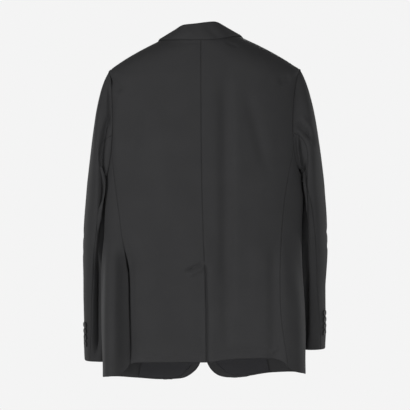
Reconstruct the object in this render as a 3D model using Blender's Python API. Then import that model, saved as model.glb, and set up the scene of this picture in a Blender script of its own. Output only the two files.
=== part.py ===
"""A single-breasted suit jacket, hanging filled out with nobody in it. All sizes are metres.

The back of the jacket faces -Y, its fronts face +Y, the wearer's right is +X and up is +Z. The
origin is at the middle of the neck's base, where a pair of shoulders would carry the jacket.

The body is one form: a closed section at every height, from the hem to the neck. A place on it
is a turn round the section, in degrees from the centre back (to the wearer's left is negative,
the centre front is 180), and a height. Each cloth piece is a grid laid on that form or on a
sleeve, and is extruded one cloth thickness inwards, so that it is a thin closed wall.
"""
import math
from bisect import bisect_right
from collections import namedtuple

import bmesh
import bpy
from mathutils import Vector

# Cloth and seams
CLOTH = 0.0018
FACING_CLOTH = 0.0011
SEAM_GAP = 0.0003
ARMHOLE_GAP = 0.0005
LAYER_GAP = 0.0004

# The two sides of the jacket, as the sign of X
LEFT, RIGHT = -1, 1
SIDE_NAMES = {LEFT: "left", RIGHT: "right"}

# The body's sections: half widths to the wearer's left and right, depths behind and in front.
# Above the shoulders' tips the half widths end at the shoulder lines instead.
SQUARENESS = 0.07
HEM_SQUARENESS = 0.45
SQUARE_FROM = -0.400
SQUARE_RUN = 0.220
Section = namedtuple("Section", "height left right back front")
BODY = [
    Section(-0.790, 0.2297, 0.2305, 0.0890, 0.0930),
    Section(-0.730, 0.2303, 0.2293, 0.0880, 0.0925),
    Section(-0.650, 0.2306, 0.2268, 0.0855, 0.0910),
    Section(-0.580, 0.2304, 0.2240, 0.0815, 0.0895),
    Section(-0.500, 0.2292, 0.2205, 0.0765, 0.0880),
    Section(-0.430, 0.2278, 0.2210, 0.0745, 0.0885),
    Section(-0.360, 0.2258, 0.2238, 0.0775, 0.0920),
    Section(-0.315, 0.2238, 0.2205, 0.0815, 0.0945),
    Section(-0.265, 0.2215, 0.2180, 0.0850, 0.0950),
    Section(-0.200, 0.2195, 0.2180, 0.0855, 0.0915),
    Section(-0.130, 0.2195, 0.2190, 0.0815, 0.0835),
    Section(-0.095, 0.2185, 0.2185, 0.0780, 0.0770),
    Section(-0.064, 0.2180, 0.2185, 0.0745, 0.0710),
    Section(-0.030, 0.2170, 0.2180, 0.0690, 0.0640),
    Section(0.000, 0.2150, 0.2150, 0.0625, 0.0560),
    Section(0.025, 0.2150, 0.2150, 0.0580, 0.0500),
]
# Each shoulder line, from behind: a point under the collar's edge and how steeply it falls.
# The cloth rounds over it, and reaches its full depth this far below it near the neck, and
# sooner towards the tip, so that the ridge keeps its roundness.
Shoulder = namedtuple("Shoulder", "x height fall")
SHOULDER = {LEFT: Shoulder(0.1040, -0.0020, 0.591), RIGHT: Shoulder(0.0829, 0.0075, 0.541)}
SHOULDER_DROP = {"back": 0.115, "front": 0.100}
SHOULDER_RADIUS = 0.030
SHOULDER_BOW = 0.0070
SHOULDER_RUN = 0.066

# The largest folds: a line down the back or the fronts, how far it reaches to each side, and
# how far the cloth stands out along it (negative is a hollow)
Fold = namedtuple("Fold", "face top_x top_height foot_x foot_height reach rise")
FOLDS = [
    Fold("back", -0.1880, -0.430, -0.1830, -0.860, 0.017, -0.0100),
    Fold("back", -0.1620, -0.430, -0.1560, -0.860, 0.034, -0.0040),
    Fold("back", -0.2130, -0.420, -0.2110, -0.860, 0.014, 0.0075),
    Fold("back", 0.1560, -0.430, 0.1600, -0.860, 0.014, -0.0040),
    Fold("back", 0.1800, -0.430, 0.1850, -0.860, 0.014, 0.0026),
    Fold("back", 0.0430, -0.060, 0.0450, -0.600, 0.013, -0.0028),
    Fold("back", 0.0640, -0.060, 0.0660, -0.600, 0.010, 0.0018),
    Fold("back", 0.0900, -0.090, 0.1500, -0.330, 0.014, -0.0035),
    Fold("back", -0.1250, -0.110, -0.1500, -0.330, 0.015, -0.0028),
    Fold("front", -0.1200, -0.120, -0.1050, -0.420, 0.016, -0.0030),
    Fold("front", 0.1200, -0.120, 0.1050, -0.420, 0.016, -0.0030),
]
FOLD_FADE = 0.09

# Seams and edges of the body, as X at a height (seam lines) or as a height at a turn (the hem),
# and how many lines of points each panel has
SeamPoint = namedtuple("SeamPoint", "height x")
CENTRE_BACK = [
    SeamPoint(-0.790, 0.0034), SeamPoint(-0.716, 0.0034), SeamPoint(-0.503, 0.0),
    SeamPoint(-0.450, -0.0023), SeamPoint(-0.250, -0.0068), SeamPoint(0.010, -0.0082),
]
BACK_SEAM = {
    LEFT: [
        SeamPoint(-0.790, 0.1730), SeamPoint(-0.750, 0.1737), SeamPoint(-0.566, 0.1782),
        SeamPoint(-0.453, 0.1873), SeamPoint(-0.362, 0.1986), SeamPoint(-0.262, 0.2113),
    ],
    RIGHT: [
        SeamPoint(-0.790, 0.1900), SeamPoint(-0.737, 0.1880), SeamPoint(-0.680, 0.1805),
        SeamPoint(-0.610, 0.1725), SeamPoint(-0.540, 0.1714), SeamPoint(-0.453, 0.1745),
        SeamPoint(-0.362, 0.1820), SeamPoint(-0.240, 0.2040),
    ],
}
FRONT_SEAM_TURN = 103.0
HemPoint = namedtuple("HemPoint", "turn height")
HEM = [
    HemPoint(-180, -0.7705), HemPoint(-159, -0.7708), HemPoint(-140, -0.7665),
    HemPoint(-120, -0.7632), HemPoint(-90, -0.7640), HemPoint(-72, -0.7625),
    HemPoint(-54, -0.7616), HemPoint(-44, -0.7605), HemPoint(-40, -0.7580),
    HemPoint(-37, -0.7400), HemPoint(-35, -0.7325), HemPoint(-30, -0.7300),
    HemPoint(0, -0.7298), HemPoint(3, -0.7292), HemPoint(7, -0.7250), HemPoint(13, -0.7220),
    HemPoint(22, -0.7207), HemPoint(30, -0.7214), HemPoint(36, -0.7265),
    HemPoint(39, -0.7345), HemPoint(42, -0.7450), HemPoint(46, -0.7500), HemPoint(54, -0.7530),
    HemPoint(66, -0.7550), HemPoint(90, -0.7570), HemPoint(123, -0.7525),
    HemPoint(140, -0.7545), HemPoint(158, -0.7625), HemPoint(180, -0.7660),
]
HEM_SWEEP = 0.22
BACK_STEPS = 6
BACK_COLUMNS = 9
BACK_ARMHOLE_STEPS = 8
BACK_SHOULDER_STEPS = 4
SIDE_COLUMNS = 6
FRONT_ARMHOLE_STEPS = 11
FRONT_COLUMNS = 11
FRONT_SEAM_STEPS = 13
BREAK_ROW = 11
GORGE_ROW = 20
EDGE_CROWDING = 1.25
FRONT_HEM_SHARE = 0.17
HEM_ARRIVAL = 0.16

# The centre vent: its height, and how far the right half reaches under the left
VENT_TOP = -0.503
VENT_UNDERLAP = 0.044
VENT_STAY_DROP = 0.021

# Armholes: an upright loop round the end of each shoulder
Armhole = namedtuple("Armhole", "top bottom back_reach front_reach")
ARMHOLE = {
    LEFT: Armhole(-0.0650, -0.3120, 20.0, 36.0),
    RIGHT: Armhole(-0.0635, -0.3020, 25.0, 36.0),
}
ARMHOLE_ROUNDNESS = 0.68

# Fronts: the edge from the rounded lower corner up to where the lapel starts to turn, in X
# towards the wearer's own side, then the roll line to the collar and the neckline
BREAK_HEIGHT = -0.395
OVERLAP = 0.018
EdgePoint = namedtuple("EdgePoint", "x height")
FRONT_EDGE = {
    LEFT: [
        EdgePoint(0.0830, -0.7705), EdgePoint(0.0500, -0.7680), EdgePoint(0.0290, -0.7575),
        EdgePoint(0.0140, -0.7425), EdgePoint(0.0075, -0.7270), EdgePoint(-0.0010, -0.6850),
        EdgePoint(-0.0100, -0.6300), EdgePoint(-0.0170, -0.5600), EdgePoint(-OVERLAP, -0.5000),
        EdgePoint(-OVERLAP, BREAK_HEIGHT),
    ],
    RIGHT: [
        EdgePoint(0.0860, -0.7625), EdgePoint(0.0570, -0.7665), EdgePoint(0.0345, -0.7630),
        EdgePoint(0.0160, -0.7500), EdgePoint(0.0050, -0.7310), EdgePoint(-0.0010, -0.6950),
        EdgePoint(-0.0090, -0.6350), EdgePoint(-0.0170, -0.5600), EdgePoint(-OVERLAP, -0.5000),
        EdgePoint(-OVERLAP, BREAK_HEIGHT),
    ],
}
# Where the gorge meets the roll line, the notch, the collar's tip and the lapel's tip
GORGE = EdgePoint(0.0760, -0.0520)
NOTCH = EdgePoint(0.1190, -0.0810)
COLLAR_TIP = EdgePoint(0.1320, -0.0520)
LAPEL_TIP = EdgePoint(0.1530, -0.1020)
NECK_POINT = {LEFT: EdgePoint(0.0880, 0.0075), RIGHT: EdgePoint(0.0630, 0.0183)}
NECK_BACK_HEIGHT = 0.0060
LAPEL_FOOT = EdgePoint(-0.0174, -0.3910)
LAPEL_FOOT_WIDTH = 0.004
LAPEL_CORNER = 0.55
LAPEL_ROWS = 15
LAPEL_COLUMNS = 6
LAPEL_BELLY = 0.012
LAPEL_GAP = 0.0007
LAPEL_LOFT = 0.003
UNDER_LEFT_FRONT = 0.0040
UNDER_FADE = (0.022, 0.110)
UNDER_TOP = -0.250
UNDER_TOP_FADE = 0.060
FACING_WIDTH = 0.143
FACING_TOP_WIDTH = 0.100
FACING_TOP = -0.435
FACING_BOTTOM = -0.725
FACING_INSET = 0.002
FACING_CORNER = (0.010, 0.065)
FACING_HEM_SHARE = 0.2
FACING_GAP = 0.0008

# Sleeves: rings from the upper arm to the cuff. Outer is the silhouette's X from behind
Ring = namedtuple("Ring", "left_height right_height left_outer right_outer width middle depth tilt")
SLEEVE = [
    Ring(-0.345, -0.338, 0.2687, 0.2738, 0.080, 0.046, 0.140, 2.0),
    Ring(-0.420, -0.411, 0.2745, 0.2783, 0.076, 0.063, 0.132, 6.0),
    Ring(-0.500, -0.489, 0.2773, 0.2800, 0.074, 0.081, 0.126, 9.0),
    Ring(-0.580, -0.565, 0.2778, 0.2772, 0.072, 0.098, 0.119, 10.0),
    Ring(-0.650, -0.633, 0.2762, 0.2778, 0.070, 0.111, 0.114, 8.0),
    Ring(-0.727, -0.700, 0.2735, 0.2755, 0.068, 0.124, 0.110, 4.0),
]
# The sleeve's start at the armhole: a direction (outwards, forwards, up) and how far it carries
CapStart = namedtuple("CapStart", "turn outward forward up carry")
CAP = [
    CapStart(0, 0.51, 0.00, -0.86, 0.052),
    CapStart(90, 0.96, 0.02, -0.27, 0.062),
    CapStart(180, 0.88, 0.10, -0.46, 0.030),
    CapStart(270, 0.92, 0.22, -0.25, 0.024),
    CapStart(360, 0.51, 0.00, -0.86, 0.052),
]
CAP_ARRIVAL = 0.60
CAP_ROWS = 8
ARM_ROWS = 9
EVEN_BY = 1.5
SLEEVE_CLEARANCE = 0.006
SLEEVE_RADIUS = 0.045
SeamTurn = namedtuple("SeamTurn", "place hindarm forearm")
SLEEVE_SEAMS = [SeamTurn(0.0, 104, 236), SeamTurn(1.0, 87, 240), SeamTurn(6.0, 49, 246)]

# The collar: its wall, the round of its fold, how full its fall is, and how it lies on the body
NECK_MIDDLE_X = -0.0125
COLLAR_RIGHT_LIFT = 0.0100
COLLAR_CLOTH = 0.0018
COLLAR_FOLD_RADIUS = 0.0019
COLLAR_BULGE = 0.0020
COLLAR_LIFT = 0.0018
COLLAR_SEAM_GAP = 0.0008
COLLAR_STAND_FOOT = 0.0025
COLLAR_END_GAP = 0.0016
COLLAR_CORNER = 0.4
COLLAR_SIDE_HEIGHT = {LEFT: -0.0010, RIGHT: 0.0080}
COLLAR_FALL_STEPS = 4
COLLAR_STATIONS = 30
# The fold's middle, station by station from the centre back (0) to the neck's side: how far out
# from the neck's middle, how far forward and how high. The gorge is at place 1
NECK_SHARE = 0.60
CollarStation = namedtuple("CollarStation", "place fold_out fold_forward fold_height")
COLLAR = [
    CollarStation(0.00, 0.0000, -0.0500, 0.0368),
    CollarStation(0.20, 0.0260, -0.0450, 0.0372),
    CollarStation(0.30, 0.0385, -0.0375, 0.0355),
    CollarStation(0.42, 0.0500, -0.0235, 0.0288),
    CollarStation(0.60, 0.0620, 0.0000, 0.0202),
]

# Pockets and buttons
FLAP_HEIGHT = 0.050
FLAP_TOP = -0.515
FLAP_TURNS = (113.0, 153.0)
FLAP_SLANT = 0.004
FLAP_ROUNDING = 0.004
FLAP_CORNER = 0.12
WELT_X = (0.098, 0.172)
WELT_HEIGHT = 0.022
WELT_BOTTOM = -0.2500
WELT_SLANT = 0.012
FRONT_BUTTON_RADIUS = 0.0100
FRONT_BUTTON_THICKNESS = 0.0040
FRONT_BUTTON_HEIGHTS = {"upper": -0.412, "lower": -0.512}
CUFF_BUTTON_RADIUS = 0.0070
CUFF_BUTTON_THICKNESS = 0.0032
CUFF_BUTTON_STEP = 0.0150
CUFF_BUTTON_LOWEST = 0.040
CUFF_BUTTON_SETBACK = 0.0125
CUFF_BUTTON_COUNT = 4
BUTTON_STEPS = 16
# A button's half section, as shares of its radius and thickness
ProfilePoint = namedtuple("ProfilePoint", "out up")
BUTTON_PROFILE = [
    ProfilePoint(0.00, 0.00), ProfilePoint(0.72, 0.00), ProfilePoint(1.00, 0.40),
    ProfilePoint(1.00, 0.72), ProfilePoint(0.88, 1.00), ProfilePoint(0.70, 0.80),
    ProfilePoint(0.00, 0.72),
]

FINISHES = {
    "suiting": ((0.032, 0.032, 0.034), 0.82),
    "facing": ((0.030, 0.030, 0.032), 0.80),
    "horn": ((0.020, 0.019, 0.018), 0.35),
}

DEGREES = math.pi / 180


def clear_scene():
    for thing in list(bpy.data.objects):
        bpy.data.objects.remove(thing, do_unlink=True)


def finish(name):
    """The Principled material of this name, made once."""
    if name in bpy.data.materials:
        return bpy.data.materials[name]
    colour, roughness = FINISHES[name]
    material = bpy.data.materials.new(name)
    material.use_nodes = True
    shader = material.node_tree.nodes["Principled BSDF"]
    shader.inputs["Base Color"].default_value = (*colour, 1.0)
    shader.inputs["Roughness"].default_value = roughness
    shader.inputs["Metallic"].default_value = 0.0
    return material


# ---- curves through tables ----

def blend(start, end, share):
    return start + (end - start) * share


def ease(share):
    """0 to 1 with no slope at either end."""
    share = min(max(share, 0.0), 1.0)
    return share * share * (3 - 2 * share)


def curve_through(places, values):
    """A smooth curve through the points that never overshoots between them."""
    rises = [(end - start) / (after - before) for before, after, start, end
             in zip(places, places[1:], values, values[1:])]
    slopes = [rises[0]]
    for before, after in zip(rises, rises[1:]):
        slopes.append(2 * before * after / (before + after) if before * after > 0 else 0.0)
    slopes.append(rises[-1])

    def at(place):
        place = min(max(place, places[0]), places[-1])
        i = min(bisect_right(places, place), len(places) - 1) - 1
        step = places[i + 1] - places[i]
        t = (place - places[i]) / step
        keep, arrive = 1 + t * t * (2 * t - 3), t * t * (3 - 2 * t)
        leave, enter = t * (1 - t) ** 2, t * t * (t - 1)
        return (keep * values[i] + arrive * values[i + 1]
                + step * (leave * slopes[i] + enter * slopes[i + 1]))
    return at


def table_curve(rows, place, value):
    """A curve of one named column of a table over another."""
    rows = sorted(rows, key=lambda row: getattr(row, place))
    return curve_through([getattr(row, place) for row in rows],
                         [getattr(row, value) for row in rows])


body_size = {column: table_curve(BODY, "height", column)
             for column in ("left", "right", "back", "front")}
hem_height = table_curve(HEM, "turn", "height")
centre_back_x = table_curve(CENTRE_BACK, "height", "x")
back_seam_x = {side: table_curve(rows, "height", "x") for side, rows in BACK_SEAM.items()}


# ---- the body's form ----

def ridge_x(side, height):
    """How far out the shoulder line is at this height; it bows a little between its ends."""
    shoulder = SHOULDER[side]
    down = shoulder.height - height
    share = min(max(down / SHOULDER_RUN, 0.0), 1.0)
    return shoulder.x + down / shoulder.fall + SHOULDER_BOW * 4 * share * (1 - share)


def half_width(side, height):
    """To the body's side, or to the shoulder line where that is nearer."""
    return min(body_size["left" if side == LEFT else "right"](height), ridge_x(side, height))


def squareness(face, height):
    """How square a section's corners are: the back's grow squarer towards the hem."""
    if face == "front":
        return SQUARENESS
    return blend(SQUARENESS, HEM_SQUARENESS, ease((SQUARE_FROM - height) / SQUARE_RUN))


def round_share(share, square):
    """The sine of the turn at which a section is this share of its half width across."""
    sine = share
    for _ in range(8):
        miss = sine * (1 + square) - square * sine ** 3 - share
        sine -= miss / (1 + square - 3 * square * sine * sine)
    return min(max(sine, 0.0), 1.0)


def depth_share(x_share, square):
    """A section's depth, as a share, where it is this share of its half width across."""
    sine = round_share(min(x_share, 1.0), square)
    return math.sqrt(1 - sine * sine) * (1 + square * sine * sine)


def shoulder_share(side, face, x, height, depth):
    """How much of its depth the cloth has here, below the shoulder line it rounds over."""
    below = (ridge_x(side, height) - abs(x)) * SHOULDER[side].fall
    tight_drop = max(depth, 0.001) ** 2 / SHOULDER_RADIUS
    drop = 1 / (1 / SHOULDER_DROP[face] + 1 / tight_drop)
    left = 1 - min(max(below / drop, 0.0), 1.0)
    return math.sqrt(1 - left * left)


def smooth_body_point(turn, height):
    """A point of the body's form before its folds."""
    turn = (turn + 180) % 360 - 180
    sine, cosine = math.sin(turn * DEGREES), math.cos(turn * DEGREES)
    side = LEFT if turn < 0 else RIGHT
    face = "back" if cosine > 0 else "front"
    square = squareness(face, height)
    x = half_width(side, height) * sine * (1 + square * cosine * cosine)
    full_width = body_size["left" if side == LEFT else "right"](height)
    depth = body_size[face](height) * depth_share(abs(x) / full_width, square)
    depth *= shoulder_share(side, face, x, height, depth)
    return Vector((x, -depth if cosine > 0 else depth, height))


def turn_at_x(x, height, front=False):
    """The turn where the body's form is x across, on its back or on its front."""
    side = LEFT if x < 0 else RIGHT
    square = squareness("front" if front else "back", height)
    sine = round_share(min(abs(x) / half_width(side, height), 1.0), square)
    turn = math.asin(sine) / DEGREES
    return side * (180.0 - turn if front else turn)


def fold_rise(turn, height):
    """How far the folds move the cloth outwards here."""
    point = smooth_body_point(turn, height)
    face = "back" if math.cos(turn * DEGREES) > 0 else "front"
    rise = 0.0
    for fold in FOLDS:
        if fold.face != face:
            continue
        along = (fold.top_height - height) / (fold.top_height - fold.foot_height)
        aside = (point.x - blend(fold.top_x, fold.foot_x, along)) / fold.reach
        if abs(aside) > 4:
            continue
        fade = ease((fold.top_height - height) / FOLD_FADE)
        fade *= ease((height - fold.foot_height) / FOLD_FADE)
        rise += fold.rise * fade * math.exp(-aside * aside)
    return rise


def normal_of(place, first, second, step_first, step_second):
    """The unit normal of a surface place(first, second), by central differences."""
    across = place(first + step_first, second) - place(first - step_first, second)
    along = place(first, second + step_second) - place(first, second - step_second)
    return across.cross(along).normalized()


def folded_body_point(turn, height):
    outwards = normal_of(smooth_body_point, turn, height, 0.5, 0.001)
    return smooth_body_point(turn, height) + outwards * fold_rise(turn, height)


def body_place(turn, height, rise=0.0):
    """A point that far outside the body's folded form, and the form's normal there."""
    outwards = normal_of(folded_body_point, turn, height, 0.5, 0.001)
    return folded_body_point(turn, height) + outwards * rise, outwards


def turn_step(turn, height, distance):
    """The turn, in degrees, that moves a point this far round the body."""
    ahead = smooth_body_point(turn + 0.5, height) - smooth_body_point(turn - 0.5, height)
    return distance / ahead.length


# ---- armholes ----

def armhole_turn_height(side, around):
    """The armhole at this angle: 0 at the shoulder's tip, 90 behind, 180 under the arm."""
    loop = ARMHOLE[side]
    middle, half = (loop.top + loop.bottom) / 2, (loop.top - loop.bottom) / 2
    sine = math.sin(around * DEGREES)
    reach = loop.back_reach if sine > 0 else -loop.front_reach
    turn = 90 - reach * abs(sine) ** ARMHOLE_ROUNDNESS
    return side * turn, middle + half * math.cos(around * DEGREES)


def armhole_point(side, around):
    return body_place(*armhole_turn_height(side, around))[0]


def around_at_height(side, height):
    """The armhole's angle, from its back half, at this height."""
    loop = ARMHOLE[side]
    middle, half = (loop.top + loop.bottom) / 2, (loop.top - loop.bottom) / 2
    return math.acos(min(max((height - middle) / half, -1), 1)) / DEGREES


def armhole_seam(side, around):
    """The armhole seam's point, its middle normal and the way from the body to the sleeve."""
    turn, height = armhole_turn_height(side, around)
    point, body_normal = body_place(turn, height)
    ahead = armhole_point(side, around + 1) - armhole_point(side, around - 1)
    ahead.normalize()
    sleeve_way = cap_direction(side, around)
    sleeve_normal = (ahead.cross(sleeve_way) * side).normalized()
    middle = (body_normal + sleeve_normal).normalized()
    across = middle.cross(ahead).normalized()
    if across.dot(sleeve_way) < 0:
        across.negate()
    return point, middle, across


# ---- sleeves ----

cap_curve = {column: table_curve(CAP, "turn", column)
             for column in ("outward", "forward", "up", "carry")}
ring_curve = {column: curve_through(list(range(1, len(SLEEVE) + 1)),
                                    [getattr(ring, column) for ring in SLEEVE])
              for column in Ring._fields}
seam_curve = {column: table_curve(SLEEVE_SEAMS, "place", column)
              for column in ("hindarm", "forearm")}


def cap_direction(side, around):
    around %= 360
    return Vector((side * cap_curve["outward"](around), cap_curve["forward"](around),
                   cap_curve["up"](around))).normalized()


def ring_point(side, around, place):
    """A point of the sleeve's ring at this place: 1 is the upper arm, 6 is the cuff."""
    size = {column: ring_curve[column](place) for column in Ring._fields}
    outer = size["left_outer"] if side == LEFT else size["right_outer"]
    height = size["left_height"] if side == LEFT else size["right_height"]
    sine, cosine = math.sin(around * DEGREES), math.cos(around * DEGREES)
    forward = -size["depth"] / 2 * sine
    return Vector((side * (outer - size["width"] / 2 * (1 - cosine)),
                   size["middle"] + forward,
                   height + forward * math.tan(size["tilt"] * DEGREES)))


def body_half_width_at(side, forward, height):
    """The body's half width at this distance in front of its middle plane."""
    face = "front" if forward > 0 else "back"
    square = squareness(face, height)
    cosine = round_share(min(abs(forward) / body_size[face](height), 1.0), square)
    sine = math.sqrt(1 - cosine * cosine)
    return half_width(side, height) * sine * (1 + square * cosine * cosine)


def beside_body(side, point, share):
    """The point moved out, where it must be, to hang just clear of the body."""
    least = body_half_width_at(side, point.y, point.z) + SLEEVE_CLEARANCE * share
    out, softness = abs(point.x), SLEEVE_CLEARANCE * share
    out = (out + least + math.sqrt((out - least) ** 2 + softness ** 2)) / 2
    return Vector((side * out, point.y, point.z))


def sleeve_point(side, around, place):
    """A point of the sleeve: place 0 is the armhole, 1 the upper arm and 6 the cuff."""
    if place >= 1:
        return beside_body(side, ring_point(side, around, place), 1.0)
    start = armhole_point(side, around)
    end = ring_point(side, around, 1.0)
    span = (end - start).length
    leave = cap_direction(side, around) * cap_curve["carry"](around % 360) * 3
    ahead = ring_point(side, around, 1.05) - ring_point(side, around, 1.0)
    arrive = ahead.normalized() * span * CAP_ARRIVAL
    t = max(place, 0.0)
    point = (start * (1 + t * t * (2 * t - 3)) + end * (t * t * (3 - 2 * t))
             + leave * (t * (1 - t) ** 2) + arrive * (t * t * (t - 1)))
    return beside_body(side, point, ease(t))


def sleeve_normal(side, around, place):
    step = 0.02
    across = sleeve_point(side, around + 1, place) - sleeve_point(side, around - 1, place)
    low, high = max(place - step, 0.0), place + step
    along = sleeve_point(side, around, high) - sleeve_point(side, around, low)
    return (across.cross(along) * side).normalized()


def sleeve_place(side, around, place, rise=0.0):
    outwards = sleeve_normal(side, around, place)
    if place <= 0:
        point, middle, across = armhole_seam(side, around)
        return point + across * ARMHOLE_GAP / 2, middle
    return sleeve_point(side, around, place) + outwards * rise, outwards


# ---- walls ----

def add_object(name, bm, finish_name):
    mesh = bpy.data.meshes.new(name)
    bmesh.ops.recalc_face_normals(bm, faces=bm.faces)
    bm.to_mesh(mesh)
    bm.free()
    mesh.materials.append(finish(finish_name))
    thing = bpy.data.objects.new(name, mesh)
    bpy.context.scene.collection.objects.link(thing)
    mesh.shade_smooth()
    mesh.set_sharp_from_angle(angle=50 * DEGREES)
    return thing


def wall_from_sheet(bm, inner_points):
    """Close a sheet into a wall: its faces again at the inner points, joined at the edges."""
    number = bm.verts.layers.int.new("number")
    for i, vert in enumerate(bm.verts):
        vert[number] = i
    made = bmesh.ops.extrude_face_region(bm, geom=bm.faces[:], use_keep_orig=True)
    for item in made["geom"]:
        if isinstance(item, bmesh.types.BMVert):
            item.co = inner_points[item[number]]


def cloth_piece(name, across, along, place, cloth=CLOTH, finish_name="suiting"):
    """A wall through place(u, v), which gives the outer point and the wall's own direction.

    across and along are the shares, from 0 to 1, where the piece's lines of points lie.
    """
    bm = bmesh.new()
    bmesh.ops.create_grid(bm, x_segments=len(across) - 1, y_segments=len(along) - 1, size=0.5)
    inner_points = []
    for vert in bm.verts:
        column = round((vert.co.x + 0.5) * (len(across) - 1))
        row = round((vert.co.y + 0.5) * (len(along) - 1))
        outer, outwards = place(across[column], along[row])
        vert.co = outer
        inner_points.append(outer - outwards * cloth)
    wall_from_sheet(bm, inner_points)
    return add_object(name, bm, finish_name)


def steps(count):
    return [i / count for i in range(count + 1)]


# ---- the back ----

def seam_foot_turn(side):
    """The turn where the back's side seam meets the hem."""
    turn = 50.0
    for _ in range(6):
        height = hem_height(side * turn)
        turn = abs(turn_at_x(side * back_seam_x[side](height), height))
    return turn


def back_meets_armhole(side):
    """The height where the back's side seam runs into the armhole."""
    low, high = ARMHOLE[side].bottom, (ARMHOLE[side].top + ARMHOLE[side].bottom) / 2
    for _ in range(30):
        middle = (low + high) / 2
        seam = abs(turn_at_x(side * back_seam_x[side](middle), middle))
        armhole = abs(armhole_turn_height(side, around_at_height(side, middle))[0])
        if armhole > seam:
            low = middle
        else:
            high = middle
    return low


def neckline_height(side, turn):
    """The neck seam over the back, from the centre back up to the neck's side."""
    return blend(NECK_BACK_HEIGHT, NECK_POINT[side].height, ease(abs(turn) / 90))


def armhole_stops(side):
    """The armhole's angles where the panels' points lie, once round from the shoulder's tip."""
    back, front = armhole_joins(side)
    stops = [back * share for share in steps(BACK_ARMHOLE_STEPS)[:-1]]
    stops += [blend(back, front, share) for share in steps(SIDE_COLUMNS)[:-1]]
    stops += [blend(front, 360, share) for share in steps(FRONT_ARMHOLE_STEPS)]
    return stops


def armhole_joins(side):
    """The armhole's angles where the side panel meets the back and the front."""
    return (around_at_height(side, back_meets_armhole(side)),
            armhole_around_at_turn(side, FRONT_SEAM_TURN))


def back_rows(side):
    """Heights of the back's lines of points, closer where the armhole curves."""
    corner, loop = back_meets_armhole(side), ARMHOLE[side]
    rows = [blend(hem_height(0), VENT_TOP, share) for share in steps(BACK_STEPS)]
    rows += [blend(VENT_TOP, corner, share) for share in steps(BACK_STEPS)[1:]]
    start = around_at_height(side, corner)
    rows += [armhole_turn_height(side, start * (1 - share))[1]
             for share in steps(BACK_ARMHOLE_STEPS)[1:-1]]
    rows += [blend(loop.top, NECK_BACK_HEIGHT, share) for share in steps(BACK_SHOULDER_STEPS)]
    return rows


def hem_sweep(base):
    """How much of the hem's shape a line of points keeps, by its height at the centre back."""
    return max(0.0, 1 - (base - hem_height(0)) / HEM_SWEEP) ** 1.5


def seam_heights(side):
    """Where the back's lines of points meet its side seam."""
    heights = []
    for base in back_rows(side)[:2 * BACK_STEPS + 1]:
        turn = turn_at_x(side * back_seam_x[side](base), base)
        for _ in range(4):
            height = base + (hem_height(turn) - hem_height(0)) * hem_sweep(base)
            turn = turn_at_x(side * back_seam_x[side](height), height)
        heights.append(height)
    return heights


def back_half(side):
    rows = back_rows(side)
    corner, tip = back_meets_armhole(side), ARMHOLE[side].top
    at_seam = seam_heights(side)
    neck_rise = NECK_POINT[side].height - NECK_BACK_HEIGHT

    def outer_place(row):
        """The turn and height where a line of points ends."""
        base = rows[row]
        if row < len(at_seam):
            turn = turn_at_x(side * back_seam_x[side](at_seam[row]), at_seam[row])
            return turn - side * turn_step(turn, base, SEAM_GAP / 2), at_seam[row]
        if base <= tip:
            return armhole_turn_height(side, around_at_height(side, base))
        height = base + neck_rise * (base - tip) / (NECK_BACK_HEIGHT - tip)
        return side * (90 - turn_step(90, height, SEAM_GAP / 2)), height

    def place(share, row):
        base = rows[row]
        if share == 1 and corner < base <= tip:
            point, middle, across = armhole_seam(side, around_at_height(side, base))
            return point - across * ARMHOLE_GAP / 2, middle
        centre = turn_at_x(centre_back_x(base), base) + side * turn_step(0, base, SEAM_GAP / 2)
        outer_turn, outer_height = outer_place(row)
        turn = blend(centre, outer_turn, share)
        height = blend(base, outer_height, share * share)
        if row < len(at_seam) and share < 1:
            height = base + (hem_height(turn) - hem_height(0)) * hem_sweep(base)
        return body_place(turn, height)

    bm = bmesh.new()
    last_row = len(rows) - 1
    bmesh.ops.create_grid(bm, x_segments=BACK_COLUMNS, y_segments=last_row, size=0.5)
    inner_points = []
    vent_verts = []
    for vert in bm.verts:
        column = round((vert.co.x + 0.5) * BACK_COLUMNS)
        row = round((vert.co.y + 0.5) * last_row)
        vert.co, outwards = place(column / BACK_COLUMNS, row)
        inner_points.append(vert.co - outwards * CLOTH)
        if column == 0 and row <= BACK_STEPS:
            vent_verts.append(vert)
    if side == RIGHT:
        add_underlap(bm, vent_verts, inner_points)
    wall_from_sheet(bm, inner_points)
    return add_object("back_" + SIDE_NAMES[side], bm, "suiting")


def add_underlap(bm, edge_verts, inner_points):
    """Carry the right half's vent edge inwards, then under the left half."""
    bm.verts.index_update()
    for vert in edge_verts:
        inner_points[vert.index].x += CLOTH
    edges = [edge for edge in bm.edges if all(vert in edge_verts for vert in edge.verts)]
    for reach, aside in ((-SEAM_GAP / 2, CLOTH), (VENT_UNDERLAP, 0.0)):
        made = bmesh.ops.extrude_edge_only(bm, edges=edges)["geom"]
        new_verts = [item for item in made if isinstance(item, bmesh.types.BMVert)]
        edges = [item for item in made if isinstance(item, bmesh.types.BMEdge)
                 and all(vert in new_verts for vert in item.verts)]
        bm.verts.index_update()
        for vert in sorted(new_verts, key=lambda item: item.index):
            top = VENT_TOP - VENT_STAY_DROP * max(reach, 0.0) / VENT_UNDERLAP
            height = min(vert.co.z, top)
            x = centre_back_x(height) - reach
            outer, outwards = body_place(turn_at_x(x, height), height, -CLOTH - LAYER_GAP)
            vert.co = outer
            inner_points.append(outer - outwards * CLOTH + Vector((aside, 0, 0)))


# ---- side panels ----

def armhole_around_at_turn(side, turn):
    """The armhole's angle, in its lower half, where it stands at this turn."""
    low, high = 90.0, 270.0
    for _ in range(40):
        middle = (low + high) / 2
        if abs(armhole_turn_height(side, middle)[0]) < turn:
            low = middle
        else:
            high = middle
    return low


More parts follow.
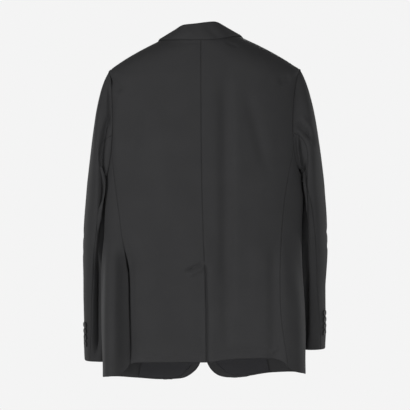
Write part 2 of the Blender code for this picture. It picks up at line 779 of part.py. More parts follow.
def side_panel(side):
    corner = back_meets_armhole(side)
    back_around, front_around = armhole_joins(side)
    corner_turn = abs(armhole_turn_height(side, back_around)[0])
    foot_turn = seam_foot_turn(side)

    def place(u, v):
        around = blend(back_around, front_around, u)
        top_turn, top_height = armhole_turn_height(side, around)
        if v == 1 and 0 < u < 1:
            point, middle, across = armhole_seam(side, around)
            return point - across * ARMHOLE_GAP / 2, middle
        foot = hem_height(side * blend(foot_turn, FRONT_SEAM_TURN, u))
        height = blend(foot, top_height, v)
        back_turn = abs(turn_at_x(side * back_seam_x[side](height), height))
        back_turn += turn_step(back_turn, height, SEAM_GAP / 2)
        front_turn = FRONT_SEAM_TURN - turn_step(FRONT_SEAM_TURN, height, SEAM_GAP / 2)
        if v == 1:
            point, middle, across = armhole_seam(side, around)
            aside = smooth_body_point(side * front_turn, height)
            aside -= smooth_body_point(side * back_turn, height)
            aside.normalize()
            shift = SEAM_GAP / 2 if u == 0 else -SEAM_GAP / 2
            return point - across * ARMHOLE_GAP / 2 + aside * shift, middle
        turn = blend(back_turn, front_turn, u)
        at_top = blend(corner_turn, FRONT_SEAM_TURN, u)
        turn += (abs(top_turn) - at_top) * v ** 3
        return body_place(side * turn, height)

    foot = hem_height(side * foot_turn)
    rows = [(height - foot) / (corner - foot) for height in seam_heights(side)]
    rows[0], rows[-1] = 0, 1
    return cloth_piece("side_panel_" + SIDE_NAMES[side], steps(SIDE_COLUMNS), rows, place)


# ---- fronts ----

def between(start, end, share):
    return EdgePoint(blend(start.x, end.x, share), blend(start.height, end.height, share))


def along_corner(start, middle, end, corner, share):
    """A point on two straight lines that meet where share is corner."""
    if share < corner:
        return between(start, middle, share / corner)
    return between(middle, end, (share - corner) / (1 - corner))


def along_path(points, share):
    """A point at this share of a path's length, straight between its points."""
    lengths = [math.dist(start, end) for start, end in zip(points, points[1:])]
    target = share * sum(lengths)
    for start, end, length in zip(points, points[1:], lengths):
        if target <= length or end is points[-1]:
            return between(start, end, min(target / length, 1.0))
        target -= length
    return points[-1]


def lowered(side, x, height):
    """How far the right front lies inwards, under the left one."""
    if side == LEFT:
        return 0.0
    sink = 1 - ease((x - UNDER_FADE[0]) / (UNDER_FADE[1] - UNDER_FADE[0]))
    return -UNDER_LEFT_FRONT * sink * ease((UNDER_TOP - height) / UNDER_TOP_FADE)


def front_place(side, x, height, rise=0.0):
    """A place on a front by X, not by turn."""
    turn = turn_at_x(x, height, front=True)
    if abs(turn) > 179.99 or x * side < 0:
        turn = side * 180 + (180 - abs(turn)) * side * (1 if x * side < 0 else -1)
    return turn, height, rise + lowered(side, x, height)


def front_panel(side):
    edge = [EdgePoint(side * point.x, point.height) for point in FRONT_EDGE[side]]
    gorge = EdgePoint(side * GORGE.x, GORGE.height)
    neck = EdgePoint(side * NECK_POINT[side].x, NECK_POINT[side].height)
    join_around = armhole_around_at_turn(side, FRONT_SEAM_TURN)
    join_height = armhole_turn_height(side, join_around)[1]
    foot = hem_height(side * FRONT_SEAM_TURN)
    row_count = FRONT_SEAM_STEPS + FRONT_ARMHOLE_STEPS
    low_share = FRONT_SEAM_STEPS / row_count
    break_share, gorge_share = BREAK_ROW / row_count, GORGE_ROW / row_count

    def inner_point(v):
        if v <= break_share:
            return along_path(edge, (v / break_share) ** EDGE_CROWDING)
        if v <= gorge_share:
            share = (v - break_share) / (gorge_share - break_share)
            return along_path([edge[-1], gorge], share)
        return along_path([gorge, neck], (v - gorge_share) / (1 - gorge_share))

    def outer_point(v):
        if v <= low_share:
            height = blend(foot, join_height, v / low_share)
            return side * FRONT_SEAM_TURN, height
        around = blend(join_around, 360, (v - low_share) / (1 - low_share))
        return armhole_turn_height(side, around)

    def place(u, v):
        inner = inner_point(v)
        inner_turn = turn_at_x(inner.x, inner.height, front=True)
        if inner.x * side < 0:
            inner_turn = side * 360 + inner_turn
        outer_turn, outer_height = outer_point(v)
        on_seam = v <= low_share
        if on_seam:
            outer_turn += side * turn_step(outer_turn, outer_height, SEAM_GAP / 2)
        turn = blend(inner_turn, outer_turn, u)
        height = blend(inner.height, outer_height, u)
        sweep = max(0.0, 1 - v / FRONT_HEM_SHARE) ** 1.5
        level = blend(inner_point(0).height, foot, u)
        limited = max(min(turn, 180.0), -180.0)
        sweep *= ease(u / HEM_ARRIVAL) * ease((1 - u) / HEM_ARRIVAL)
        height += (hem_height(limited) - level) * sweep
        if u == 1 and not on_seam:
            around = blend(join_around, 360, (v - low_share) / (1 - low_share))
            point, middle, across = armhole_seam(side, around)
            point = point - across * ARMHOLE_GAP / 2
            if v == 1:
                point += Vector((0, SEAM_GAP / 2, 0))
            return point, middle
        if v == 1:
            turn += side * turn_step(90, height, SEAM_GAP / 2)
        x = smooth_body_point(turn, height).x
        return body_place(turn, height, lowered(side, x, height))

    return cloth_piece("front_" + SIDE_NAMES[side], steps(FRONT_COLUMNS), steps(row_count), place)


def lapel(side):
    """The turned-back top of the facing, from the break up to the gorge and the notch."""
    start = EdgePoint(LAPEL_FOOT.x + LAPEL_FOOT_WIDTH, LAPEL_FOOT.height)

    def place(u, v):
        roll, edge = between(LAPEL_FOOT, GORGE, v), between(start, LAPEL_TIP, v)
        belly = LAPEL_BELLY * math.sin(math.pi * v) ** 0.8
        x, height = blend(roll.x, edge.x + belly, u), blend(roll.height, edge.height, u)
        straight, top = between(GORGE, LAPEL_TIP, u), along_corner(
            GORGE, NOTCH, LAPEL_TIP, LAPEL_CORNER, u)
        x += (top.x - straight.x) * v ** 4
        height += (top.height - straight.height - SEAM_GAP) * v ** 4
        lift = LAPEL_GAP + FACING_CLOTH
        lift += LAPEL_LOFT * math.sin(math.pi * u) ** 2 * ease((v - 0.25) * 3)
        turn, height, rise = front_place(side, side * x, height, lift)
        return body_place(turn, height, rise)

    return cloth_piece("lapel_" + SIDE_NAMES[side], steps(LAPEL_COLUMNS), steps(LAPEL_ROWS),
                       place, FACING_CLOTH, "facing")


def facing(side):
    """The strip inside a front's edge, from the hem up to just below the break."""
    upright = [point for point in FRONT_EDGE[side] if point.height >= FACING_BOTTOM - 0.01]
    edge_x = table_curve(upright, "height", "x")

    def place(u, v):
        level = blend(FACING_BOTTOM, FACING_TOP, v)
        width = blend(FACING_WIDTH, FACING_TOP_WIDTH, ease(v))
        x = side * (edge_x(level) + FACING_INSET + width * u)
        turn = turn_at_x(x, level, front=True)
        hem = hem_height(max(min(turn, 180.0), -180.0)) + FACING_INSET
        corner = ease((side * x - FACING_CORNER[0]) / (FACING_CORNER[1] - FACING_CORNER[0]))
        height = level + (hem - level) * max(0.0, 1 - v / FACING_HEM_SHARE) * corner
        turn = turn_at_x(x, height, front=True)
        if x * side < 0:
            turn = side * 360 + turn
        rise = -CLOTH - FACING_GAP + lowered(side, x, height)
        return body_place(turn, height, rise)

    return cloth_piece("facing_" + SIDE_NAMES[side], steps(7), steps(14), place,
                       FACING_CLOTH, "facing")


# ---- collar ----

fold_curve = {column: table_curve(COLLAR, "place", column)
              for column in ("fold_out", "fold_forward", "fold_height")}


def neck_edge(side, share):
    """The body's neck edge, halfway through the cloth, from the centre back to the gorge."""
    if share <= NECK_SHARE:
        turn = side * 90 * share / NECK_SHARE
        return body_place(turn, neckline_height(side, turn), -CLOTH / 2)
    down = (share - NECK_SHARE) / (1 - NECK_SHARE)
    point = between(NECK_POINT[side], GORGE, down)
    return body_place(*front_place(side, side * point.x, point.height, -CLOTH / 2))


def collar_seam(side, share):
    """Where the stand starts, clear of the body's edge, with the cloth's direction there."""
    point, outwards = neck_edge(side, share)
    step = 0.01
    ahead = neck_edge(side, min(share + step, 1))[0] - neck_edge(side, max(share - step, 0))[0]
    away = outwards.cross(ahead).normalized()
    if away.dot(Vector((NECK_MIDDLE_X, 0, 0.15)) - point) < 0:
        away.negate()
    return point + away * COLLAR_SEAM_GAP, outwards, away


def collar_edge(side, share):
    """The collar's free edge, over the shoulders and down the fronts to the collar's tip."""
    lift = COLLAR_CLOTH / 2 + COLLAR_LIFT
    side_height = COLLAR_SIDE_HEIGHT[side]
    if share <= NECK_SHARE:
        turn = side * 90 * share / NECK_SHARE
        return body_place(turn, blend(0.0, side_height, ease(abs(turn) / 60)), lift)
    down = (share - NECK_SHARE) / (1 - NECK_SHARE)
    x = blend(abs(smooth_body_point(side * 90, side_height).x), COLLAR_TIP.x, down)
    height = blend(side_height, COLLAR_TIP.height, down ** 1.1)
    return body_place(*front_place(side, side * x, height, lift))


def collar_end(side, t):
    """The collar's front end, from its tip past the notch and along the gorge to the roll."""
    end = along_corner(COLLAR_TIP, NOTCH, GORGE, COLLAR_CORNER, t)
    lift = COLLAR_CLOTH / 2 + COLLAR_LIFT
    return body_place(*front_place(side, side * end.x, end.height + COLLAR_END_GAP, lift))[0]


def clear_of_body(point, lift):
    """The point, moved out where it must be to lie this far outside the body."""
    turn = turn_at_x(point.x, point.z, front=point.y > 0)
    surface, outwards = body_place(turn, point.z)
    short = lift - (point - surface).dot(outwards)
    softness = 0.001
    return point + outwards * (short + math.sqrt(short * short + softness * softness)) / 2


def collar_fold(side, share):
    """The middle of the fold's round: free round the back of the neck, then beside the neck
    seam, ever closer to it, down to the gorge."""
    if share <= NECK_SHARE:
        tilt = COLLAR_RIGHT_LIFT * side * share * (1 - share) * 2
        return Vector((NECK_MIDDLE_X * (1 - share ** 3) + side * fold_curve["fold_out"](share),
                       fold_curve["fold_forward"](share),
                       fold_curve["fold_height"](share) + tilt))
    neck_seam, neck_outwards, neck_away = collar_seam(side, NECK_SHARE)
    offset = collar_fold(side, NECK_SHARE) - neck_seam
    offset_away, offset_out = offset.dot(neck_away), offset.dot(neck_outwards)
    rest = offset - neck_away * offset_away - neck_outwards * offset_out
    seam, outwards, away = collar_seam(side, share)
    down = (share - NECK_SHARE) / (1 - NECK_SHARE)
    return (seam + away * blend(offset_away, COLLAR_FOLD_RADIUS / 2, down)
            + outwards * blend(offset_out, (CLOTH + COLLAR_FOLD_RADIUS) / 2, ease(down * 2))
            + rest * (1 - down) ** 2)


def collar_line(side, share):
    """One crossing of the collar from its free edge, over the fold, to the neck seam: points
    halfway through the cloth, each with a direction towards the collar's face."""
    seam, outwards, away = collar_seam(side, share)
    edge, edge_outwards = collar_edge(side, share)
    fold = collar_fold(side, share)
    along = collar_fold(side, min(share + 0.02, 1)) - collar_fold(side, max(share - 0.02, 0))
    if share < 0.02:
        along = Vector((side, 0, 0))
    along.normalize()
    up = fold - (edge + seam) / 2
    up = (up - along * up.dot(along)).normalized()
    out = up.cross(along).normalized()
    if out.dot((edge - seam).normalized() + edge_outwards) < 0:
        out.negate()
    crest = fold + out * COLLAR_FOLD_RADIUS
    points, faces = [], []
    for t in steps(COLLAR_FALL_STEPS):
        bulge = COLLAR_BULGE * (1 - ease(share / NECK_SHARE))
        point = edge.lerp(crest, t) + out * bulge * math.sin(math.pi * t)
        if share == 1 and t < 1:
            point = collar_end(side, t)
        if t > 0:
            point = clear_of_body(point, COLLAR_CLOTH / 2 + COLLAR_LIFT)
        points.append(point)
        faces.append(out)
    for angle in (45, 90, 135):
        way = out * math.cos(angle * DEGREES) + up * math.sin(angle * DEGREES)
        points.append(fold + way * COLLAR_FOLD_RADIUS)
        faces.append(way)
    foot = fold - out * COLLAR_FOLD_RADIUS
    near = seam + away * min(COLLAR_STAND_FOOT, (foot - seam).length / 3)
    for point in (foot, foot.lerp(near, 0.5), near, seam):
        points.append(point)
        faces.append(-out)
    return points, faces, edge_outwards, -outwards


def collar():
    """One cloth that rises from the neck seam, turns over the fold and falls to its edge."""
    lines = []
    for i in range(COLLAR_STATIONS + 1):
        along = 2 * i / COLLAR_STATIONS - 1
        lines.append(collar_line(LEFT if along < 0 else RIGHT, abs(along)))
    last, width = len(lines) - 1, len(lines[0][0]) - 1

    def place(i, j):
        points, faces, at_edge, at_seam = lines[i]
        if j == 0:
            normal = at_edge
        elif j == width:
            normal = at_seam
        else:
            along = lines[min(i + 1, last)][0][j] - lines[max(i - 1, 0)][0][j]
            normal = along.cross(points[j + 1] - points[j - 1]).normalized()
            if normal.dot(faces[j]) < 0:
                normal.negate()
        return points[j] + normal * COLLAR_CLOTH / 2, normal

    return cloth_piece("collar", range(last + 1), range(width + 1), place, COLLAR_CLOTH)


# ---- sleeves as cloth ----

def sleeve_turns(side, top):
    """The sleeve half's lines: each one's angle at the armhole, where it meets a panel's point,
    and its angle further down, where the lines are evenly spaced between the seams."""
    stops = armhole_stops(side)[:-1]
    hindarm = min(stops, key=lambda stop: abs(stop - seam_curve["hindarm"](0)))
    forearm = min(stops, key=lambda stop: abs(stop - seam_curve["forearm"](0)))
    if top:
        return [stop - 360 for stop in stops if stop >= forearm] + [
            stop for stop in stops if stop <= hindarm]
    return [stop for stop in stops if hindarm <= stop <= forearm]


def sleeve_half(side, top):
    """The top sleeve, over the outside of the arm, or the under sleeve, next to the body."""
    turns = sleeve_turns(side, top)
    last = len(turns) - 1
    rows = [share * share * (2 - share) for share in steps(CAP_ROWS)]
    rows += [blend(1, len(SLEEVE), share) for share in steps(ARM_ROWS)[1:]]

    def line_turn(column, row):
        hindarm, forearm = seam_curve["hindarm"](row), seam_curve["forearm"](row)
        start, end = (forearm - 360, hindarm) if top else (hindarm, forearm)
        even = blend(start, end, column / last)
        return blend(turns[column], even, ease(row / EVEN_BY))

    def place(column, row):
        point, outwards = sleeve_place(side, line_turn(column, row), row)
        if column in (0, last):
            step = 0.03
            seam_way = (sleeve_point(side, line_turn(column, row + step), row + step)
                        - sleeve_point(side, line_turn(column, row), row))
            shift = outwards.cross(seam_way).normalized() * SEAM_GAP / 2 * side
            point += shift * (-1 if column == 0 else 1)
        return point, outwards

    name = ("top_sleeve_" if top else "under_sleeve_") + SIDE_NAMES[side]
    return cloth_piece(name, range(last + 1), rows, place)


# ---- pockets ----

def pocket_flap(side):
    def place(u, v):
        turn = side * blend(FLAP_TURNS[0], FLAP_TURNS[1], u)
        end = min(u, 1 - u) / FLAP_CORNER
        round_off = FLAP_ROUNDING * ease(1 - end) if v == 0 else 0.0
        height = FLAP_TOP - FLAP_HEIGHT * (1 - v) - FLAP_SLANT * (1 - u) + round_off
        return body_place(turn, height, CLOTH + LAYER_GAP)
    return cloth_piece("pocket_flap_" + SIDE_NAMES[side], steps(10), steps(4), place)


def breast_welt():
    def place(u, v):
        x = -blend(WELT_X[0], WELT_X[1], u)
        height = WELT_BOTTOM + WELT_SLANT * u + WELT_HEIGHT * v
        return body_place(turn_at_x(x, height, front=True), height, CLOTH + LAYER_GAP)
    return cloth_piece("breast_welt", steps(7), steps(2), place)


# ---- buttons ----

def button(name, centre, outwards, radius, thickness):
    """A turned button with a soft rim and a dished face, lying on the cloth at centre."""
    bm = bmesh.new()
    verts = [bm.verts.new((radius * point.out, 0.0, thickness * point.up))
             for point in BUTTON_PROFILE]
    edges = [bm.edges.new(pair) for pair in zip(verts, verts[1:])]
    bmesh.ops.spin(bm, geom=verts + edges, cent=(0, 0, 0), axis=(0, 0, 1), steps=BUTTON_STEPS,
                   angle=2 * math.pi, use_merge=True, use_duplicate=False)
    bmesh.ops.remove_doubles(bm, verts=bm.verts, dist=0.00005)
    turn = Vector((0, 0, 1)).rotation_difference(outwards).to_matrix().to_4x4()
    bmesh.ops.transform(bm, matrix=turn, verts=bm.verts)
    bmesh.ops.translate(bm, vec=centre, verts=bm.verts)
    return add_object(name, bm, "horn")


def front_buttons():
    for name, height in FRONT_BUTTON_HEIGHTS.items():
        surface, outwards = body_place(180.0, height)
        button("front_button_" + name, surface + outwards * LAYER_GAP, outwards,
               FRONT_BUTTON_RADIUS, FRONT_BUTTON_THICKNESS)


def cuff_buttons(side):
    """A row of buttons up the top sleeve's edge, beside the cuff's vent."""
    cuff = len(SLEEVE)
    around = seam_curve["hindarm"](cuff) - CUFF_BUTTON_SETBACK / SLEEVE_RADIUS / DEGREES
    stretch = sleeve_point(side, around, cuff) - sleeve_point(side, around, cuff - 1)
    for number in range(CUFF_BUTTON_COUNT):
        up = CUFF_BUTTON_LOWEST + CUFF_BUTTON_STEP * number
        surface, outwards = sleeve_place(side, around, cuff - up / stretch.length)
        button(f"cuff_button_{SIDE_NAMES[side]}_{number + 1}", surface + outwards * LAYER_GAP,
               outwards, CUFF_BUTTON_RADIUS, CUFF_BUTTON_THICKNESS)


def main():
    clear_scene()
    collar()
    for side in (LEFT, RIGHT):
        sleeve_half(side, True)
        sleeve_half(side, False)
        cuff_buttons(side)
        back_half(side)
        side_panel(side)
        front_panel(side)
        lapel(side)
        facing(side)
        pocket_flap(side)
    breast_welt()
    front_buttons()


main()
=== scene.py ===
import math
from bisect import bisect_right
from collections import namedtuple

import bmesh
import bpy
import numpy as np
from mathutils import Matrix, Vector, kdtree, noise


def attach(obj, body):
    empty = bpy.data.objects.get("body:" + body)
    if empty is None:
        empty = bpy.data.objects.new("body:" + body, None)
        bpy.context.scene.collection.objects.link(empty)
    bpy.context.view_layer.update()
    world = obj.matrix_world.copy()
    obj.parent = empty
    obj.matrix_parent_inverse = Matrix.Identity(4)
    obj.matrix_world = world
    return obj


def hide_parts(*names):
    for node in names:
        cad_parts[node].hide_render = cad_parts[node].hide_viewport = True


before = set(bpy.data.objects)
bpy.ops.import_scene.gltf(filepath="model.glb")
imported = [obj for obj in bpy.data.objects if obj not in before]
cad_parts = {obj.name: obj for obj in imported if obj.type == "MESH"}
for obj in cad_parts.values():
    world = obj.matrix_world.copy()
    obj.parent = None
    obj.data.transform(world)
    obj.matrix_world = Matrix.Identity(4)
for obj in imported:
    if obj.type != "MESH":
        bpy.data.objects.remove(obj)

bl_info = {
    "name": "Suit jacket cloth",
    "version": (1, 0, 0),
    "blender": (4, 5, 0),
    "location": "3D View > Sidebar > Jacket",
    "description": "Dresses the suit jacket: its worsted panels, seams, creases, buttons and stage",
    "category": "Object",
}

# The jacket's back faces -Y, its fronts +Y, the wearer's right is +X and up is +Z. A place on the
# body is a turn round it, in degrees from the centre back, and a height. All sizes are metres.
CLOTH = 0.0018
FACING_CLOTH = 0.0011
# Sewn edges pass each other by this much, inside the seam's groove
SEAM_GAP = -0.0004
ARMHOLE_GAP = -0.0006
LAYER_GAP = 0.0004
# How thick a wall is made, as a share of its cloth
WALL_SHARE = 0.8

# The wearer's two sides of the jacket, as the sign of X
LEFT, RIGHT = -1, 1
SIDES = (LEFT, RIGHT)
SIDE_NAMES = {LEFT: "left", RIGHT: "right"}

# The body's sections: half widths to the wearer's left and right, depths behind and in front.
# Above the shoulders' tips the half widths end at the shoulder lines instead.
SQUARENESS = 0.07
HEM_SQUARENESS = 0.45
SQUARE_FROM = -0.400
SQUARE_RUN = 0.220
Section = namedtuple("Section", "height left right back front")
BODY = [
    Section(-0.790, 0.2297, 0.2305, 0.0890, 0.0930),
    Section(-0.730, 0.2303, 0.2293, 0.0880, 0.0925),
    Section(-0.650, 0.2306, 0.2268, 0.0855, 0.0910),
    Section(-0.580, 0.2304, 0.2240, 0.0815, 0.0895),
    Section(-0.500, 0.2292, 0.2205, 0.0765, 0.0880),
    Section(-0.430, 0.2278, 0.2210, 0.0745, 0.0885),
    Section(-0.360, 0.2258, 0.2238, 0.0775, 0.0920),
    Section(-0.315, 0.2238, 0.2205, 0.0815, 0.0945),
    Section(-0.265, 0.2215, 0.2180, 0.0850, 0.0950),
    Section(-0.200, 0.2195, 0.2180, 0.0855, 0.0915),
    Section(-0.130, 0.2195, 0.2190, 0.0815, 0.0835),
    Section(-0.095, 0.2185, 0.2185, 0.0780, 0.0770),
    Section(-0.064, 0.2180, 0.2185, 0.0745, 0.0710),
    Section(-0.030, 0.2170, 0.2180, 0.0690, 0.0640),
    Section(0.000, 0.2150, 0.2150, 0.0625, 0.0560),
    Section(0.025, 0.2150, 0.2150, 0.0580, 0.0500),
]
# Each shoulder line, from behind: a point under the collar's edge and how steeply it falls.
# The cloth rounds over it, and reaches its full depth this far below it near the neck, and
# sooner towards the tip, so that the ridge keeps its roundness.
Shoulder = namedtuple("Shoulder", "x height fall")
SHOULDER = {LEFT: Shoulder(0.1040, -0.0020, 0.591), RIGHT: Shoulder(0.0829, 0.0075, 0.541)}
SHOULDER_DROP = {"back": 0.115, "front": 0.100}
SHOULDER_RADIUS = 0.030
SHOULDER_LEAST = 0.001
SHOULDER_BOW = 0.0070
SHOULDER_RUN = 0.066

# The largest folds: a line down the back or the fronts, how far it reaches to each side, and
# how far the cloth stands out along it (negative is a hollow)
Fold = namedtuple("Fold", "face top_x top_height foot_x foot_height reach rise")
FOLDS = [
    Fold("back", -0.1880, -0.430, -0.1830, -0.860, 0.017, -0.0100),
    Fold("back", -0.1620, -0.430, -0.1560, -0.860, 0.034, -0.0040),
    Fold("back", -0.2130, -0.420, -0.2110, -0.860, 0.014, 0.0075),
    Fold("back", 0.1560, -0.430, 0.1600, -0.860, 0.014, -0.0040),
    Fold("back", 0.1800, -0.430, 0.1850, -0.860, 0.014, 0.0026),
    Fold("back", 0.0430, -0.060, 0.0450, -0.600, 0.013, -0.0028),
    Fold("back", 0.0640, -0.060, 0.0660, -0.600, 0.010, 0.0018),
    Fold("back", 0.0900, -0.090, 0.1500, -0.330, 0.014, -0.0035),
    Fold("back", -0.1250, -0.110, -0.1500, -0.330, 0.015, -0.0028),
    Fold("front", -0.1200, -0.120, -0.1050, -0.420, 0.016, -0.0030),
    Fold("front", 0.1200, -0.120, 0.1050, -0.420, 0.016, -0.0030),
]
FOLD_FADE = 0.09
# Past this many reaches to its side, nothing is left of a fold
FOLD_FAR = 4

# Seams and edges of the body, as X at a height (seam lines) or as a height at a turn (the hem)
SeamPoint = namedtuple("SeamPoint", "height x")
CENTRE_BACK = [
    SeamPoint(-0.790, 0.0034), SeamPoint(-0.716, 0.0034), SeamPoint(-0.503, 0.0),
    SeamPoint(-0.450, -0.0023), SeamPoint(-0.250, -0.0068), SeamPoint(0.010, -0.0082),
]
BACK_SEAM = {
    LEFT: [
        SeamPoint(-0.790, 0.1730), SeamPoint(-0.750, 0.1737), SeamPoint(-0.566, 0.1782),
        SeamPoint(-0.453, 0.1873), SeamPoint(-0.362, 0.1986), SeamPoint(-0.262, 0.2113),
    ],
    RIGHT: [
        SeamPoint(-0.790, 0.1900), SeamPoint(-0.737, 0.1880), SeamPoint(-0.680, 0.1805),
        SeamPoint(-0.610, 0.1725), SeamPoint(-0.540, 0.1714), SeamPoint(-0.453, 0.1745),
        SeamPoint(-0.362, 0.1820), SeamPoint(-0.240, 0.2040),
    ],
}
FRONT_SEAM_TURN = 103.0
HemPoint = namedtuple("HemPoint", "turn height")
HEM = [
    HemPoint(-180, -0.7705), HemPoint(-159, -0.7708), HemPoint(-140, -0.7665),
    HemPoint(-120, -0.7632), HemPoint(-90, -0.7640), HemPoint(-72, -0.7625),
    HemPoint(-54, -0.7616), HemPoint(-44, -0.7605), HemPoint(-40, -0.7580),
    HemPoint(-37, -0.7400), HemPoint(-35, -0.7325), HemPoint(-30, -0.7300),
    HemPoint(0, -0.7298), HemPoint(3, -0.7292), HemPoint(7, -0.7250), HemPoint(13, -0.7220),
    HemPoint(22, -0.7207), HemPoint(30, -0.7214), HemPoint(36, -0.7265),
    HemPoint(39, -0.7345), HemPoint(42, -0.7450), HemPoint(46, -0.7500), HemPoint(54, -0.7530),
    HemPoint(66, -0.7550), HemPoint(90, -0.7570), HemPoint(123, -0.7525),
    HemPoint(140, -0.7545), HemPoint(158, -0.7625), HemPoint(180, -0.7660),
]

# The centre vent: its top, how far the right half reaches under the left and slopes down from
# the stay, how far each half is lifted or sunk beside it, over what width, and how that fades in
VENT_TOP = -0.503
VENT_UNDERLAP = 0.044
VENT_STAY_DROP = 0.021
VENT_RISE = {LEFT: 0.0012, RIGHT: -0.0034}
VENT_REACH = {LEFT: 0.010, RIGHT: 0.018}
VENT_FADE = 0.014
UNDERLAP_COLUMNS = 6

# Armholes: an upright loop round the end of each shoulder
Armhole = namedtuple("Armhole", "top bottom back_reach front_reach")
ARMHOLE = {
    LEFT: Armhole(-0.0650, -0.3120, 20.0, 36.0),
    RIGHT: Armhole(-0.0635, -0.3020, 25.0, 36.0),
}
ARMHOLE_ROUNDNESS = 0.68

# Fronts: the edge from the rounded lower corner up to where the lapel starts to turn, in X
# towards the wearer's own side, then the roll line to the collar and the neckline
BREAK_HEIGHT = -0.395
OVERLAP = 0.018
EdgePoint = namedtuple("EdgePoint", "x height")
FRONT_EDGE = {
    LEFT: [
        EdgePoint(0.0830, -0.7705), EdgePoint(0.0500, -0.7680), EdgePoint(0.0290, -0.7575),
        EdgePoint(0.0140, -0.7425), EdgePoint(0.0075, -0.7270), EdgePoint(-0.0010, -0.6850),
        EdgePoint(-0.0100, -0.6300), EdgePoint(-0.0170, -0.5600), EdgePoint(-OVERLAP, -0.5000),
        EdgePoint(-OVERLAP, BREAK_HEIGHT),
    ],
    RIGHT: [
        EdgePoint(0.0860, -0.7625), EdgePoint(0.0570, -0.7665), EdgePoint(0.0345, -0.7630),
        EdgePoint(0.0160, -0.7500), EdgePoint(0.0050, -0.7310), EdgePoint(-0.0010, -0.6950),
        EdgePoint(-0.0090, -0.6350), EdgePoint(-0.0170, -0.5600), EdgePoint(-OVERLAP, -0.5000),
        EdgePoint(-OVERLAP, BREAK_HEIGHT),
    ],
}
# Where the gorge meets the roll line, the notch, the collar's tip and the lapel's tip
GORGE = EdgePoint(0.0760, -0.0520)
NOTCH = EdgePoint(0.1190, -0.0810)
COLLAR_TIP = EdgePoint(0.1320, -0.0520)
LAPEL_TIP = EdgePoint(0.1530, -0.1020)
NECK_POINT = {LEFT: EdgePoint(0.0880, 0.0075), RIGHT: EdgePoint(0.0630, 0.0183)}
NECK_BACK_HEIGHT = 0.0060
# The lapel: its foot at the break, where its top bends at the notch, its lines of points, how its
# free edge bellies out, how its top is shaped, and its gap from the front
LAPEL_FOOT = EdgePoint(-0.0174, -0.3910)
LAPEL_FOOT_WIDTH = 0.004
LAPEL_CORNER = 0.55
LAPEL_ROWS = 50
LAPEL_COLUMNS = 22
LAPEL_BELLY = 0.012
LAPEL_BELLY_POWER = 0.8
LAPEL_TOP_POWER = 4
LAPEL_GAP = 0.0007
# How the lapel's cloth turns round the front's edge, from its inside
RollPoint = namedtuple("RollPoint", "beyond rise")
LAPEL_ROLL = [RollPoint(-0.0030, -0.0022), RollPoint(0.0004, -0.0020), RollPoint(0.0014, -0.0006),
              RollPoint(0.0012, 0.0011)]
# How far the lapel stands off the front, where that starts and how soon it is reached
LAPEL_LOFT = 0.003
LAPEL_LOFT_FROM = 0.25
LAPEL_LOFT_SPEED = 3
# How far, and where, the right front passes under the left
UNDER_LEFT_FRONT = 0.0040
UNDER_FADE = (0.022, 0.110)
UNDER_TOP = -0.250
UNDER_TOP_FADE = 0.060
# The facing: its widths, its ends, how far below its foot the front's edge still shapes it, how
# it follows the hem and the rounded corner, and how far inside the front it lies
FACING_WIDTH = 0.143
FACING_TOP_WIDTH = 0.100
FACING_TOP = -0.435
FACING_BOTTOM = -0.725
FACING_REACH = 0.01
FACING_INSET = 0.002
FACING_CORNER = (0.010, 0.065)
FACING_HEM_SHARE = 0.2
FACING_GAP = 0.0008

# Sleeves: rings from the upper arm to the cuff. Outer is the silhouette's X from behind
Ring = namedtuple("Ring", "left_height right_height left_outer right_outer width middle depth tilt")
SLEEVE = [
    Ring(-0.345, -0.338, 0.2687, 0.2738, 0.080, 0.046, 0.140, 2.0),
    Ring(-0.420, -0.411, 0.2745, 0.2783, 0.076, 0.063, 0.132, 6.0),
    Ring(-0.500, -0.489, 0.2773, 0.2800, 0.074, 0.081, 0.126, 9.0),
    Ring(-0.580, -0.565, 0.2778, 0.2772, 0.072, 0.098, 0.119, 10.0),
    Ring(-0.650, -0.633, 0.2762, 0.2778, 0.070, 0.111, 0.114, 8.0),
    Ring(-0.727, -0.700, 0.2735, 0.2755, 0.068, 0.124, 0.110, 4.0),
]
# The sleeve's start at the armhole: a direction (outwards, forwards, up) and how far it carries,
# which is a third of its curve's slope there
CapStart = namedtuple("CapStart", "turn outward forward up carry")
CAP = [
    CapStart(0, 0.51, 0.00, -0.86, 0.052),
    CapStart(90, 0.96, 0.02, -0.27, 0.062),
    CapStart(180, 0.88, 0.10, -0.46, 0.030),
    CapStart(270, 0.92, 0.22, -0.25, 0.024),
    CapStart(360, 0.51, 0.00, -0.86, 0.052),
]
# How the cap runs into the first ring, its lines of points, and where they are evenly spaced
CAP_ARRIVAL = 0.60
CAP_ROWS = 24
ARM_ROWS = 56
EVEN_BY = 1.5
# How far a sleeve hangs clear of the body, and its radius at the cuff
SLEEVE_CLEARANCE = 0.006
SLEEVE_RADIUS = 0.045
SeamTurn = namedtuple("SeamTurn", "place hindarm forearm")
SLEEVE_SEAMS = [SeamTurn(0.0, 104, 236), SeamTurn(1.0, 87, 240), SeamTurn(6.0, 49, 246)]

# The collar: its wall, the round of its fold, how full its fall is, and how it lies on the body
NECK_MIDDLE_X = -0.0125
COLLAR_RIGHT_LIFT = 0.0100
COLLAR_CLOTH = 0.0018
COLLAR_FOLD_RADIUS = 0.0019
COLLAR_BULGE = 0.0020
COLLAR_LIFT = 0.0018
COLLAR_SEAM_GAP = 0.0008
COLLAR_STAND_FOOT = 0.0025
COLLAR_END_GAP = 0.0016
# How far the stand's foot is tucked down inside the back's neck edge, and in from it
COLLAR_TUCK = 0.0045
COLLAR_TUCK_IN = 0.0021
COLLAR_TUCK_FADE = 0.08
COLLAR_TUCK_LEAST = 0.0003
COLLAR_CORNER = 0.4
# The turn at which its free edge has reached its height at the side, and how that bends in front
COLLAR_EDGE_TURN = 60
COLLAR_EDGE_POWER = 1.1
